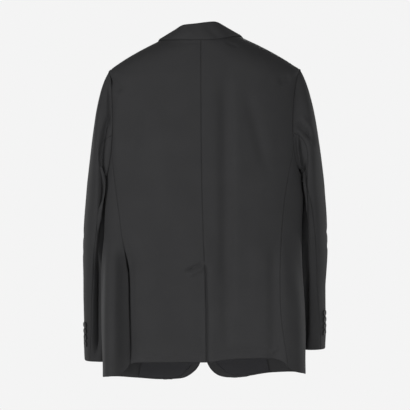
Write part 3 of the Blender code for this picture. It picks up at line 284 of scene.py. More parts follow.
# How gently it is moved clear of the body, and the height above the neck that its stand leans to
COLLAR_SOFTNESS = 0.001
COLLAR_AIM_HEIGHT = 0.15
COLLAR_FOLD_ANGLES = (45, 90, 135)
COLLAR_SIDE_HEIGHT = {LEFT: -0.0010, RIGHT: 0.0080}
COLLAR_FALL_STEPS = 9
COLLAR_STATIONS = 80
# The neck's side as a share of the way to the gorge, and the steps that give directions there
NECK_SHARE = 0.60
NECK_STEP = 0.01
FOLD_STEP = 0.02
# The fold's middle, station by station from the centre back (0) to the neck's side: how far out
# from the neck's middle, how far forward and how high. The gorge is at place 1
CollarStation = namedtuple("CollarStation", "place fold_out fold_forward fold_height")
COLLAR = [
    CollarStation(0.00, 0.0000, -0.0500, 0.0368),
    CollarStation(0.20, 0.0260, -0.0450, 0.0372),
    CollarStation(0.30, 0.0385, -0.0375, 0.0355),
    CollarStation(0.42, 0.0500, -0.0235, 0.0288),
    CollarStation(0.60, 0.0620, 0.0000, 0.0202),
]

# The hip pockets' flaps, the breast pocket's welt, and the buttons
FLAP_HEIGHT = 0.050
FLAP_TOP = -0.515
FLAP_TURNS = (113.0, 153.0)
FLAP_SLANT = 0.004
FLAP_ROUNDING = 0.004
FLAP_CORNER = 0.12
WELT_X = (0.098, 0.172)
WELT_HEIGHT = 0.022
WELT_BOTTOM = -0.2500
WELT_SLANT = 0.012
FRONT_BUTTON_RADIUS = 0.0100
FRONT_BUTTON_THICKNESS = 0.0040
FRONT_BUTTON_HEIGHTS = {"upper": -0.412, "lower": -0.512}
CUFF_BUTTON_RADIUS = 0.0070
CUFF_BUTTON_THICKNESS = 0.0032
CUFF_BUTTON_STEP = 0.0150
CUFF_BUTTON_LOWEST = 0.040
CUFF_BUTTON_SETBACK = 0.0125
CUFF_BUTTON_COUNT = 4
# How many lines of points each panel has, how they crowd, and how they follow the hem
BACK_STEPS = 46
BACK_COLUMNS = 46
BACK_ARMHOLE_STEPS = 28
BACK_SHOULDER_STEPS = 16
SIDE_COLUMNS = 16
FRONT_ARMHOLE_STEPS = 26
FRONT_COLUMNS = 32
FRONT_SEAM_STEPS = 42
BREAK_ROW = 31
GORGE_ROW = 57
EDGE_CROWDING = 1.25
FRONT_HEM_SHARE = 0.17
HEM_ARRIVAL = 0.16
HEM_SWEEP = 0.22
HEM_POWER = 1.5
SIDE_TOP_POWER = 3
FACING_COLUMNS = 16
FACING_ROWS = 44
FLAP_COLUMNS = 32
FLAP_ROWS = 12
WELT_COLUMNS = 20
WELT_ROWS = 7

# Steps of turn and height, or round and along a sleeve, that give a surface's normal
TURN_STEP, HEIGHT_STEP = 0.5, 0.001
AROUND_STEP, PLACE_STEP, RING_STEP = 1, 0.02, 0.05
# How often each search for a turn is repeated until it settles
SECTION_SEARCHES = 8
HEM_SEARCHES = 4
FOOT_SEARCHES = 6
HALVINGS = 30
FOOT_START = 50.0

# Near an edge: how far in each line of points lies, and the most of its cell that it may take
EDGE_LINES = ((0.0012, 0.3), (0.0028, 0.65))
# The least length that a share is taken of
TINY = 0.00001
# A crease's ends: the share of its rise that is there, and the share of its length over which the
# rest comes in. It is whole where this much of the cloth's normal looks its way
CREASE_LEFT = 0.15
CREASE_ENDS = 0.3
CREASE_FACING = 0.4
# How steeply the twill's lines run
TWILL_SLANT = 1.2
# The small swells: how they fade in from a seam, how upright they are, and a second, finer set
SWELL_FADE = 0.012
SWELL_UPRIGHT = 0.45
FINER_SWELL = 2.3
FINER_DEPTH = 0.4
FINER_SHIFT = Vector((7, 3, 1))

# A button's holes and thread, as shares of its radius, and how deep its thread starts
HOLE_OUT = 0.24
HOLE_RADIUS = 0.11
HOLE_SIDES = 12
THREAD_RADIUS = 0.075
THREAD_DEPTH = 0.45
THREAD_ARCH = 0.62
THREAD_STEPS = 10
THREAD_SIDES = 8
# A buttonhole: its middle in X, half its length, the slit's and the stitches' half widths
BUTTONHOLE_MIDDLE = 0.0100
BUTTONHOLE_HALF = 0.0110
BUTTONHOLE_SLIT = 0.0003
BUTTONHOLE_STITCH = 0.0014
BUTTONHOLE_LIFT = 0.0003
BUTTONHOLE_THREAD = 0.0005
BUTTONHOLE_POINTS = 40
# A button's half section, as shares of its radius and thickness, turned in this many steps
BUTTON_STEPS = 32
BUTTON_CREASE = math.radians(40)
BUTTON_WELD = 0.00002
ProfilePoint = namedtuple("ProfilePoint", "out up")
BUTTON_PROFILE = [
    ProfilePoint(0.00, 0.00), ProfilePoint(0.72, 0.00), ProfilePoint(0.92, 0.14),
    ProfilePoint(1.00, 0.40), ProfilePoint(1.00, 0.72), ProfilePoint(0.96, 0.92),
    ProfilePoint(0.88, 1.00), ProfilePoint(0.79, 0.95), ProfilePoint(0.70, 0.80),
    ProfilePoint(0.55, 0.73), ProfilePoint(0.00, 0.72),
]
DEGREES = math.pi / 180

# The ways a crease's face looks, and which coordinate then runs across it
Face = namedtuple("Face", "axis way across")
FACES = {"back": Face(1, -1, 0), "front": Face(1, 1, 0),
         "left": Face(0, -1, 1), "right": Face(0, 1, 1)}
# Creases of the cloth, by the pieces they cross and the face they show on: a line across and in
# height, how far it reaches to each side, how far it stands out (negative is a trough), how far it
# bows aside, and how far it reaches to its other side where that differs
Crease = namedtuple("Crease", "start_across start_height end_across end_height reach rise bow beyond",
                    defaults=(0.0, None))
CREASES = {
    ("back_left", "back"): [
        Crease(0.0002, -0.5033, -0.0465, -0.5237, 0.0025, -0.0042, beyond=0.0030),
        Crease(0.0000, -0.5155, -0.0397, -0.5337, 0.0064, 0.0044),
        Crease(-0.0874, -0.0116, -0.0284, -0.0107, 0.0027, -0.0009),
        Crease(-0.0647, -0.0182, -0.0329, -0.0170, 0.0023, -0.0005),
        Crease(-0.2168, -0.0829, -0.1873, -0.1169, 0.0102, -0.0038),
        Crease(-0.1964, -0.1169, -0.1986, -0.2713, 0.0079, 0.0016, bow=0.0045),
        Crease(-0.1782, -0.1078, -0.1782, -0.2894, 0.0113, -0.0012, bow=0.0023),
        Crease(-0.1010, -0.0057, 0.0034, -0.0061, 0.0027, -0.0012),
        Crease(-0.0352, -0.7085, 0.0011, -0.7078, 0.0032, 0.0022),
        Crease(-0.1056, -0.7185, -0.0602, -0.7094, 0.0036, 0.0019),
        Crease(-0.1737, -0.7148, -0.1056, -0.7139, 0.0041, 0.0012),
        Crease(-0.1328, -0.1578, -0.1237, -0.4756, 0.0204, -0.0009, bow=-0.0091),
        Crease(-0.0738, -0.1805, -0.0829, -0.4529, 0.0182, 0.0008, bow=0.0068),
    ],
    ("back_right", "back"): [
        Crease(0.0465, -0.0034, 0.0783, -0.0159, 0.0036, -0.0010),
        Crease(0.1668, -0.0942, 0.1941, -0.0840, 0.0091, -0.0030),
        Crease(0.0556, -0.0397, 0.0556, -0.7026, 0.0193, -0.0060, beyond=0.0136),
        Crease(0.0760, -0.0579, 0.0806, -0.5891, 0.0159, 0.0012),
        Crease(0.0443, -0.5664, 0.0511, -0.7071, 0.0125, -0.0020),
        Crease(0.0624, -0.6935, 0.1441, -0.6912, 0.0091, -0.0010),
        Crease(0.0057, -0.7076, 0.1441, -0.6969, 0.0036, 0.0016),
        Crease(0.1487, -0.7094, 0.1691, -0.6935, 0.0045, 0.0026),
        Crease(0.1305, -0.3167, 0.1214, -0.6345, 0.0204, 0.0008, bow=0.0068),
    ],
    ("collar", "back"): [
        Crease(-0.0783, 0.0057, -0.0193, 0.0204, 0.0091, 0.0013),
        Crease(0.0034, 0.0306, 0.0488, -0.0079, 0.0079, -0.0016),
        Crease(-0.0647, -0.0057, -0.0193, -0.0102, 0.0045, -0.0009),
    ],
    ("sleeve_left", "back"): [
        Crease(-0.2134, -0.1623, -0.2338, -0.3121, 0.0059, -0.0100, bow=0.0057),
        Crease(-0.2338, -0.2803, -0.2383, -0.5073, 0.0059, -0.0160),
        Crease(-0.2383, -0.4665, -0.2497, -0.7298, 0.0086, -0.0260),
        Crease(-0.2281, -0.1260, -0.2463, -0.2713, 0.0091, 0.0014, bow=0.0045),
        Crease(-0.2168, -0.0987, -0.2141, -0.2032, 0.0036, -0.0045, bow=0.0007, beyond=0.0030),
        Crease(-0.2531, -0.5028, -0.2622, -0.6912, 0.0102, -0.0016),
        Crease(-0.2440, -0.3621, -0.2554, -0.4756, 0.0113, -0.0012),
    ],
    ("_left", "back"): [
        Crease(-0.1805, -0.4438, -0.1771, -0.7797, 0.0113, -0.0130, bow=-0.0045, beyond=0.0295),
        Crease(-0.2043, -0.4529, -0.2054, -0.7797, 0.0104, 0.0050),
        Crease(-0.2202, -0.4665, -0.2225, -0.7661, 0.0091, 0.0020),
    ],
    ("sleeve_right", "back"): [
        Crease(0.2077, -0.1850, 0.2418, -0.2213, 0.0059, -0.0060),
        Crease(0.2168, -0.1714, 0.2508, -0.2054, 0.0059, 0.0024),
        Crease(0.2304, -0.1964, 0.2531, -0.2395, 0.0059, -0.0050),
        Crease(0.2418, -0.2486, 0.2576, -0.4302, 0.0102, 0.0016),
        Crease(0.2100, -0.2077, 0.2259, -0.3212, 0.0059, -0.0100, bow=0.0034),
        Crease(0.2247, -0.2894, 0.2270, -0.5437, 0.0059, -0.0160),
        Crease(0.2270, -0.5028, 0.2270, -0.7071, 0.0073, -0.0200),
        Crease(0.2576, -0.4529, 0.2554, -0.5664, 0.0113, -0.0014),
        Crease(0.2440, -0.5028, 0.2440, -0.6685, 0.0113, -0.0018),
    ],
    ("front_left", "front"): [
        Crease(-0.0300, -0.4050, -0.1500, -0.3520, 0.0080, -0.0027, bow=0.0030),
        Crease(-0.0340, -0.4280, -0.1400, -0.4400, 0.0070, -0.0020, bow=-0.0030),
        Crease(-0.1720, -0.1200, -0.1560, -0.3050, 0.0090, -0.0040, bow=0.0040),
        Crease(-0.1120, -0.5400, -0.1340, -0.7750, 0.0130, 0.0027, bow=0.0040),
        Crease(-0.0600, -0.5900, -0.0660, -0.7750, 0.0120, 0.0018),
    ],
    ("front_right", "front"): [
        Crease(0.0520, -0.4080, 0.1460, -0.3650, 0.0075, -0.0023, bow=-0.0030),
        Crease(0.0500, -0.4320, 0.1500, -0.4550, 0.0070, -0.0022, bow=0.0040),
        Crease(0.1700, -0.1250, 0.1580, -0.2900, 0.0080, -0.0032, bow=-0.0040),
        Crease(0.1180, -0.5750, 0.1360, -0.7650, 0.0120, 0.0023, bow=-0.0040),
        Crease(0.0720, -0.6000, 0.0800, -0.7650, 0.0110, 0.0016),
    ],
    ("sleeve_right", "front"): [
        Crease(0.2140, -0.3920, 0.2680, -0.3660, 0.0050, -0.0047, bow=0.0030),
        Crease(0.2120, -0.4090, 0.2620, -0.3840, 0.0045, 0.0023, bow=0.0030),
        Crease(0.2140, -0.4300, 0.2700, -0.4120, 0.0050, -0.0052, bow=0.0030),
        Crease(0.2200, -0.4630, 0.2620, -0.4520, 0.0045, -0.0031, bow=0.0020),
        Crease(0.2500, -0.1200, 0.2620, -0.2600, 0.0090, -0.0032, bow=0.0040),
        Crease(0.2450, -0.5200, 0.2500, -0.6900, 0.0110, -0.0029),
    ],
    ("sleeve_left", "front"): [
        Crease(-0.2140, -0.4020, -0.2660, -0.3720, 0.0050, -0.0045, bow=-0.0030),
        Crease(-0.2140, -0.4360, -0.2700, -0.4150, 0.0050, -0.0054, bow=-0.0030),
        Crease(-0.2160, -0.4540, -0.2620, -0.4360, 0.0040, 0.0022, bow=-0.0030),
        Crease(-0.2220, -0.4760, -0.2580, -0.4660, 0.0045, -0.0029, bow=-0.0020),
        Crease(-0.2460, -0.1250, -0.2620, -0.2700, 0.0090, -0.0031, bow=-0.0040),
        Crease(-0.2420, -0.5300, -0.2500, -0.7150, 0.0110, -0.0032),
    ],
    ("sleeve", "right"): [
        Crease(0.1180, -0.4020, 0.0520, -0.4400, 0.0060, -0.0036, bow=-0.0030),
        Crease(0.1260, -0.4400, 0.0620, -0.4680, 0.0055, -0.0031, bow=-0.0030),
        Crease(0.0500, -0.1100, 0.0620, -0.2700, 0.0100, -0.0029, bow=0.0040),
        Crease(0.0860, -0.4800, 0.1120, -0.6550, 0.0120, -0.0032, bow=0.0040),
    ],
    ("sleeve", "left"): [
        Crease(0.1160, -0.4120, 0.0560, -0.4460, 0.0060, -0.0038, bow=-0.0030),
        Crease(0.1280, -0.4520, 0.0660, -0.4820, 0.0055, -0.0029, bow=-0.0030),
        Crease(0.0480, -0.1200, 0.0600, -0.2850, 0.0100, -0.0027, bow=0.0040),
        Crease(0.0900, -0.4900, 0.1160, -0.6750, 0.0120, -0.0036, bow=0.0040),
    ],
    ("side_panel", "right"): [
        Crease(-0.0200, -0.4200, -0.0100, -0.7200, 0.0120, 0.0029, bow=0.0030),
    ],
    ("side_panel", "left"): [
        Crease(-0.0160, -0.4300, -0.0060, -0.7300, 0.0120, 0.0029, bow=-0.0030),
    ],
}

# The cut of each piece, laid flat: its widest, its longest and its area
Cut = namedtuple("Cut", "width length area")

# The view's middle, in X and height, and its width; the floor; and the lights
VIEW_MIDDLE = (0.0011, -0.3734)
VIEW_WIDTH = 0.9307
FLOOR_RADIUS = 1.7
FLOOR_SIDES = 96
LIGHT_AIM = (0, 0, -0.38)
Light = namedtuple("Light", "name place size power")
LIGHTS = [
    Light("key", (-0.8, -4.0, 0.5), (1.8, 1.4), 27.0),
    Light("side", (-3.6, -1.8, 0.3), (0.8, 1.6), 70.0),
    Light("fill", (2.2, -3.4, 0.4), (1.6, 1.6), 47.0),
    Light("low", (-0.4, -3.9, -0.92), (2.0, 0.3), 38.0),
    Light("front_key", (0.8, 3.9, 0.9), (1.8, 1.4), 60.0),
    Light("front_side", (3.2, 2.4, 0.3), (0.8, 1.6), 66.0),
    Light("front_fill", (-2.6, 3.2, 0.2), (1.6, 1.6), 48.0),
    Light("top", (0.0, 0.0, 3.0), (2.0, 2.0), 6.0),
]


# ---- curves through tables ----

def blend(start, end, share):
    """From start (0) to end (1)."""
    return start + (end - start) * share


def ease(share):
    """0 to 1 with no slope at either end."""
    share = min(max(share, 0.0), 1.0)
    return share * share * (3 - 2 * share)


def run_between(start, end, leave, arrive, share):
    """A share of the way on a smooth run that leaves and arrives with these slopes."""
    left = 1 - share
    return (start * (1 + share * share * (2 * share - 3))
            + end * (share * share * (3 - 2 * share))
            + leave * (share * left * left) - arrive * (share * share * left))


def curve_through(places, values):
    """A smooth curve through the points that never overshoots between them."""
    rises = [(end - start) / (after - before) for before, after, start, end
             in zip(places, places[1:], values, values[1:])]
    slopes = [rises[0]]
    for before, after in zip(rises, rises[1:]):
        slopes.append(2 * before * after / (before + after) if before * after > 0 else 0.0)
    slopes.append(rises[-1])

    def at(place):
        place = min(max(place, places[0]), places[-1])
        i = min(bisect_right(places, place), len(places) - 1) - 1
        step = places[i + 1] - places[i]
        return run_between(values[i], values[i + 1], step * slopes[i], step * slopes[i + 1],
                           (place - places[i]) / step)
    return at


def table_curve(rows, place, value):
    """A curve of one named column of a table over another."""
    rows = sorted(rows, key=lambda row: getattr(row, place))
    return curve_through([getattr(row, place) for row in rows],
                         [getattr(row, value) for row in rows])


def table_curves(rows, place):
    """A curve over one named column of a table for each of its other columns."""
    return {column: table_curve(rows, place, column)
            for column in rows[0]._fields if column != place}


def last_place(low, high, holds):
    """The last place between the two where a test still holds, by halving."""
    for _ in range(HALVINGS):
        middle = (low + high) / 2
        if holds(middle):
            low = middle
        else:
            high = middle
    return low


body_size = table_curves(BODY, "height")
hem_height = table_curve(HEM, "turn", "height")
centre_back_x = table_curve(CENTRE_BACK, "height", "x")
back_seam_x = {side: table_curve(rows, "height", "x") for side, rows in BACK_SEAM.items()}


# ---- the body's form ----

def ridge_x(side, height):
    """How far out the shoulder line is at this height; it bows a little between its ends."""
    shoulder = SHOULDER[side]
    down = shoulder.height - height
    share = min(max(down / SHOULDER_RUN, 0.0), 1.0)
    return shoulder.x + down / shoulder.fall + SHOULDER_BOW * 4 * share * (1 - share)


def half_width(side, height):
    """To the body's side, or to the shoulder line where that is nearer."""
    return min(body_size[SIDE_NAMES[side]](height), ridge_x(side, height))


def squareness(face, height):
    """How square a section's corners are: the back's grow squarer towards the hem."""
    if face == "front":
        return SQUARENESS
    return blend(SQUARENESS, HEM_SQUARENESS, ease((SQUARE_FROM - height) / SQUARE_RUN))


def round_share(share, square):
    """The sine of the turn at which a section is this share of its half width across."""
    sine = share
    for _ in range(SECTION_SEARCHES):
        miss = sine * (1 + square) - square * sine ** 3 - share
        sine -= miss / (1 + square - 3 * square * sine * sine)
    return min(max(sine, 0.0), 1.0)


def depth_share(x_share, square):
    """A section's depth, as a share, where it is this share of its half width across."""
    sine = round_share(min(x_share, 1.0), square)
    return math.sqrt(1 - sine * sine) * (1 + square * sine * sine)


def shoulder_share(side, face, x, height, depth):
    """How much of its depth the cloth has here, below the shoulder line it rounds over."""
    below = (ridge_x(side, height) - abs(x)) * SHOULDER[side].fall
    tight_drop = max(depth, SHOULDER_LEAST) ** 2 / SHOULDER_RADIUS
    drop = 1 / (1 / SHOULDER_DROP[face] + 1 / tight_drop)
    left = 1 - min(max(below / drop, 0.0), 1.0)
    return math.sqrt(1 - left * left)


def smooth_body_point(turn, height):
    """A point of the body's form before its folds."""
    turn = (turn + 180) % 360 - 180
    sine, cosine = math.sin(turn * DEGREES), math.cos(turn * DEGREES)
    side = LEFT if turn < 0 else RIGHT
    face = "back" if cosine > 0 else "front"
    square = squareness(face, height)
    x = half_width(side, height) * sine * (1 + square * cosine * cosine)
    full_width = body_size[SIDE_NAMES[side]](height)
    depth = body_size[face](height) * depth_share(abs(x) / full_width, square)
    depth *= shoulder_share(side, face, x, height, depth)
    return Vector((x, -depth if cosine > 0 else depth, height))


def turn_at_x(x, height, front=False):
    """The turn where the body's form is x across, on its back or on its front."""
    side = LEFT if x < 0 else RIGHT
    square = squareness("front" if front else "back", height)
    sine = round_share(min(abs(x) / half_width(side, height), 1.0), square)
    turn = math.asin(sine) / DEGREES
    return side * (180.0 - turn if front else turn)


def fold_rise(turn, height):
    """How far the folds move the cloth outwards here."""
    point = smooth_body_point(turn, height)
    face = "back" if math.cos(turn * DEGREES) > 0 else "front"
    rise = 0.0
    for fold in FOLDS:
        if fold.face != face:
            continue
        along = (fold.top_height - height) / (fold.top_height - fold.foot_height)
        aside = (point.x - blend(fold.top_x, fold.foot_x, along)) / fold.reach
        if abs(aside) > FOLD_FAR:
            continue
        fade = ease((fold.top_height - height) / FOLD_FADE)
        fade *= ease((height - fold.foot_height) / FOLD_FADE)
        rise += fold.rise * fade * math.exp(-aside * aside)
    return rise


def normal_of(place, first, second, step_first, step_second):
    """The unit normal of a surface place(first, second), by central differences."""
    across = place(first + step_first, second) - place(first - step_first, second)
    along = place(first, second + step_second) - place(first, second - step_second)
    return across.cross(along).normalized()


def body_place(turn, height, rise=0.0):
    """A point that far outside the body's folded form, and the form's normal there."""
    outwards = normal_of(smooth_body_point, turn, height, TURN_STEP, HEIGHT_STEP)
    point = smooth_body_point(turn, height) + outwards * (fold_rise(turn, height) + rise)
    return point, outwards


def turn_step(turn, height, distance):
    """The turn, in degrees, that moves a point this far round the body."""
    ahead = (smooth_body_point(turn + TURN_STEP, height)
             - smooth_body_point(turn - TURN_STEP, height))
    return distance * 2 * TURN_STEP / ahead.length


# ---- armholes ----

def armhole_heights(side):
    """The height of the armhole's middle, and half its height."""
    loop = ARMHOLE[side]
    return (loop.top + loop.bottom) / 2, (loop.top - loop.bottom) / 2


def armhole_turn_height(side, around):
    """The armhole at this angle: 0 at the shoulder's tip, 90 behind, 180 under the arm."""
    loop = ARMHOLE[side]
    middle, half = armhole_heights(side)
    sine = math.sin(around * DEGREES)
    reach = loop.back_reach if sine > 0 else -loop.front_reach
    turn = 90 - reach * abs(sine) ** ARMHOLE_ROUNDNESS
    return side * turn, middle + half * math.cos(around * DEGREES)


def armhole_point(side, around):
    """A point on the armhole's seam."""
    return body_place(*armhole_turn_height(side, around))[0]


def around_at_height(side, height):
    """The armhole's angle, from its back half, at this height."""
    middle, half = armhole_heights(side)
    return math.acos(min(max((height - middle) / half, -1), 1)) / DEGREES


def armhole_edge(side, around, way):
    """A piece's edge at the armhole's seam: way is -1 for the body's pieces, 1 for a sleeve."""
    point, body_normal = body_place(*armhole_turn_height(side, around))
    ahead = (armhole_point(side, around + AROUND_STEP)
             - armhole_point(side, around - AROUND_STEP)).normalized()
    sleeve_way = cap_direction(side, around)
    sleeve_normal = (ahead.cross(sleeve_way) * side).normalized()
    middle = (body_normal + sleeve_normal).normalized()
    across = middle.cross(ahead).normalized()
    if across.dot(sleeve_way) < 0:
        across.negate()
    return point + across * ARMHOLE_GAP / 2 * way


# ---- sleeves ----

cap_curve = table_curves(CAP, "turn")
ring_curve = {column: curve_through(list(range(1, len(SLEEVE) + 1)),
                                    [getattr(ring, column) for ring in SLEEVE])
              for column in Ring._fields}
seam_curve = table_curves(SLEEVE_SEAMS, "place")


def cap_direction(side, around):
    """Which way the sleeve's cloth leaves the armhole."""
    around %= 360
    return Vector((side * cap_curve["outward"](around), cap_curve["forward"](around),
                   cap_curve["up"](around))).normalized()


def ring_point(side, around, place):
    """A point of the sleeve's ring at this place: 1 is the upper arm, 6 is the cuff."""
    size = {column: ring_curve[column](place) for column in Ring._fields}
    outer, height = (size[f"{SIDE_NAMES[side]}_{column}"] for column in ("outer", "height"))
    sine, cosine = math.sin(around * DEGREES), math.cos(around * DEGREES)
    forward = -size["depth"] / 2 * sine
    return Vector((side * (outer - size["width"] / 2 * (1 - cosine)),
                   size["middle"] + forward,
                   height + forward * math.tan(size["tilt"] * DEGREES)))


def body_half_width_at(side, forward, height):
    """The body's half width at this distance in front of its middle plane."""
    face = "front" if forward > 0 else "back"
    square = squareness(face, height)
    cosine = round_share(min(abs(forward) / body_size[face](height), 1.0), square)
    sine = math.sqrt(1 - cosine * cosine)
    return half_width(side, height) * sine * (1 + square * cosine * cosine)


def beside_body(side, point, share):
    """The point moved out, where it must be, to hang just clear of the body."""
    least = body_half_width_at(side, point.y, point.z) + SLEEVE_CLEARANCE * share
    out = abs(point.x)
    out = (out + least + math.hypot(out - least, SLEEVE_CLEARANCE * share)) / 2
    return Vector((side * out, point.y, point.z))


def sleeve_point(side, around, place):
    """A point of the sleeve: place 0 is the armhole, 1 the upper arm and 6 the cuff."""
    if place >= 1:
        return beside_body(side, ring_point(side, around, place), 1.0)
    start = armhole_point(side, around)
    end = ring_point(side, around, 1.0)
    span = (end - start).length
    leave = cap_direction(side, around) * cap_curve["carry"](around % 360) * 3
    ahead = ring_point(side, around, 1.0 + RING_STEP) - end
    arrive = ahead.normalized() * span * CAP_ARRIVAL
    share = max(place, 0.0)
    return beside_body(side, run_between(start, end, leave, arrive, share), ease(share))


def sleeve_normal(side, around, place):
    """Which way is out of the sleeve."""
    return side * normal_of(lambda turn, along: sleeve_point(side, turn, along), around, place,
                            AROUND_STEP, PLACE_STEP)


# ---- finishes ----

class Value:
    """A number on a node's socket, in an expression that adds its Math nodes."""

    def __init__(self, nodes, socket):
        self.nodes, self.socket = nodes, socket

    def _math(self, operation, *values):
        return self.nodes.add("ShaderNodeMath", {"operation": operation},
                              {i: value for i, value in enumerate(values)}, 0)

    def __add__(self, other):
        return self._math("ADD", self, other)

    def __sub__(self, other):
        return self._math("SUBTRACT", self, other)

    def __rsub__(self, other):
        return self._math("SUBTRACT", other, self)

    def __mul__(self, other):
        return self._math("MULTIPLY", self, other)

    __radd__, __rmul__ = __add__, __mul__

    def sine(self):
        return self._math("SINE", self)


# A colour mix's own sockets, whose names it shares with those for numbers
MIX_FROM, MIX_TO, MIX_COLOUR = 6, 7, 2


class Nodes:
    """A material's nodes, each added with its settings first and then its values or links."""

    def __init__(self, name):
        self.material = bpy.data.materials.new(name)
        self.material.use_nodes = True
        self.tree = self.material.node_tree
        self.shader = self.tree.nodes["Principled BSDF"]

    def add(self, kind, options, values, output=0):
        node = self.tree.nodes.new(kind)
        for option, value in options.items():
            setattr(node, option, value)
        self.fill(node, values)
        return Value(self, node.outputs[output])

    def fill(self, node, values):
        for name, value in values.items():
            if isinstance(value, Value):
                self.tree.links.new(value.socket, node.inputs[name])
            else:
                node.inputs[name].default_value = value

    def grain(self, scale, **values):
        """An even noise through the piece, this many grains to the metre."""
        place = self.add("ShaderNodeTexCoord", {}, {}, "Object")
        return self.add("ShaderNodeTexNoise", {}, {"Vector": place, "Scale": scale, **values})

    def between(self, share, colour, dark, light):
        """A colour from so much darker to so much lighter than this one."""
        ends = [(*[part * tone for part in colour], 1.0) for tone in (dark, light)]
        return self.add("ShaderNodeMix", {"data_type": "RGBA"},
                        {"Factor": share, MIX_FROM: ends[0], MIX_TO: ends[1]}, MIX_COLOUR)


def worsted(name, painted_light_gain, painted_edge_light):
    """Fine, smooth black worsted: a twill of thin threads with a little sheen and lint. The gain
    paints the whole cloth lighter, as painted light. The edge light paints its seams' edges darker,
    as painted shade in their grooves, or lighter, as a painted highlight.
    """
    cloth = settings()
    nodes = Nodes(name)
    flat = nodes.add("ShaderNodeUVMap", {"uv_map": "flat"}, {})
    x = nodes.add("ShaderNodeSeparateXYZ", {}, {"Vector": flat}, "X")
    y = nodes.add("ShaderNodeSeparateXYZ", {}, {"Vector": flat}, "Y")
    turn = 2 * math.pi
    twill = ((x + y * TWILL_SLANT) * (turn / cloth.twill_pitch)).sine()
    thread = (x * (turn / cloth.thread_pitch)).sine() * (y * (turn / cloth.thread_pitch)).sine()
    lint = nodes.grain(900.0, Detail=2.0)
    tone = nodes.grain(14.0, Detail=3.0)
    seam = nodes.add("ShaderNodeAttribute", {"attribute_name": "seam"}, {}, "Fac")
    # How much each of them counts in the cloth's relief, and in its tone. The seam mask's term is
    # painted shade or a painted highlight along the edges
    height = twill * 0.5 + thread * 0.3 + lint * 0.6
    share = 0.35 + tone * 0.3 + lint * 0.12 + twill * 0.05 + seam * painted_edge_light
    bump = nodes.add("ShaderNodeBump", {}, {"Strength": 0.35, "Distance": 0.00006,
                                            "Height": height}, "Normal")
    nodes.fill(nodes.shader, {
        # The colour runs from darker to lighter than the worsted's, scaled by the painted light gain:
        # above 1 this is painted light
        "Base Color": nodes.between(share, cloth.colour, 0.62 * painted_light_gain, 1.45 * painted_light_gain),
        "Roughness": cloth.roughness + (lint - 0.5) * 0.2,
        "Normal": bump,
        "Sheen Weight": cloth.sheen,
        "Sheen Roughness": 0.45,
        "Specular IOR Level": 0.08,
    })
    return nodes.material


def horn():
    """Dark polished horn with faint streaks."""
    buttons = bpy.context.scene.jacket_buttons
    nodes = Nodes("horn")
    streak = nodes.grain(260.0, Detail=4.0, Distortion=1.5)
    nodes.fill(nodes.shader, {
        "Base Color": nodes.between(streak, buttons.colour, 0.6, 2.2),
        "Roughness": 0.38 + streak * 0.15,
        "Specular IOR Level": 0.25,
    })
    return nodes.material


def sewing_thread():
    """Black twisted thread."""
    nodes = Nodes("thread")
    nodes.fill(nodes.shader, {"Base Color": (0.016, 0.016, 0.017, 1.0),
                              "Roughness": 0.5 + nodes.grain(2500.0) * 0.2})
    return nodes.material


# Each finish by name; how many times lighter its worsted is painted, as painted light, and how much
# its seams' edges are painted darker (painted shade) or lighter (painted highlight)
MAKERS = {
    # The outer worsted: its seams' edges painted darker, as painted shade in their grooves
    "worsted": lambda: worsted("worsted", 1.0, -0.3),
    # The facing: the worsted painted 2.3 times lighter, as painted light where little light reaches
    # it, with a painted highlight along its edges
    "facing": lambda: worsted("facing", 2.3, 1.6),
    # The cloth's inside: the worsted painted 1.6 times lighter, as painted light where little light
    # reaches it
    "inside": lambda: worsted("inside", 1.6, 0.0),
    "horn": horn,
    "thread": sewing_thread,
}


def finish(name):
    """The material of this name, made once."""
    if name not in bpy.data.materials:
        MAKERS[name]()
    return bpy.data.materials[name]


# ---- cloth ----

Piece = namedtuple("Piece", "outward cloth finish")
OUTER = Piece(1, CLOTH, "worsted")
UNDER = Piece(-1, CLOTH, "worsted")
LAPEL = Piece(1, FACING_CLOTH, "worsted")
# The facing takes the painted-lighter worsted: painted light, with a painted highlight along its
# edges
FACED_PAINTED_LIGHT = Piece(1, FACING_CLOTH, "facing")


def steps(count):
    """From 0 to 1 in this many steps."""
    return [i / count for i in range(count + 1)]


def settings():
    """The cloth's sizes and colours."""
    return bpy.context.scene.jacket_cloth


def with_edge_lines(line):
    """A line's points, with two more close to each end, where a seam's edge rolls in."""
    def near(end, ahead):
        span = max((ahead - end).length, TINY)
        return [end.lerp(ahead, min(reach / span, most)) for reach, most in EDGE_LINES]
    return [line[0], *near(line[0], line[1]), *line[1:-1],
            *reversed(near(line[-1], line[-2])), line[-1]]


def running_lengths(line):
    """How far along the line each of its points lies."""
    runs = [0.0]
    for start, end in zip(line, line[1:]):
        runs.append(runs[-1] + math.dist(start, end))
    return runs


def cloth_grid(columns, rows, place):
    """A sheet of points place(column, row), with its flat cut in metres as its UV map."""
    lines = [with_edge_lines([place(column, row) for column in range(columns + 1)])
             for row in range(rows + 1)]
    lines = list(zip(*[with_edge_lines(list(line)) for line in zip(*lines)]))
    wide, high = len(lines[0]) - 1, len(lines) - 1
    across = [running_lengths(line) for line in lines]
    up = running_lengths([line[wide // 2] for line in lines])
    bm = bmesh.new()
    bmesh.ops.create_grid(bm, x_segments=wide, y_segments=high, size=0.5)
    cell = {vert: (round((vert.co.x + 0.5) * wide), round((vert.co.y + 0.5) * high))
            for vert in bm.verts}
    flat = bm.loops.layers.uv.new("flat")
    for face in bm.faces:
        for loop in face.loops:
            column, row = cell[loop.vert]
            loop[flat].uv = (across[row][column] - across[row][wide // 2], up[row])
    for vert, (column, row) in cell.items():
        vert.co = lines[row][column]
    return bm


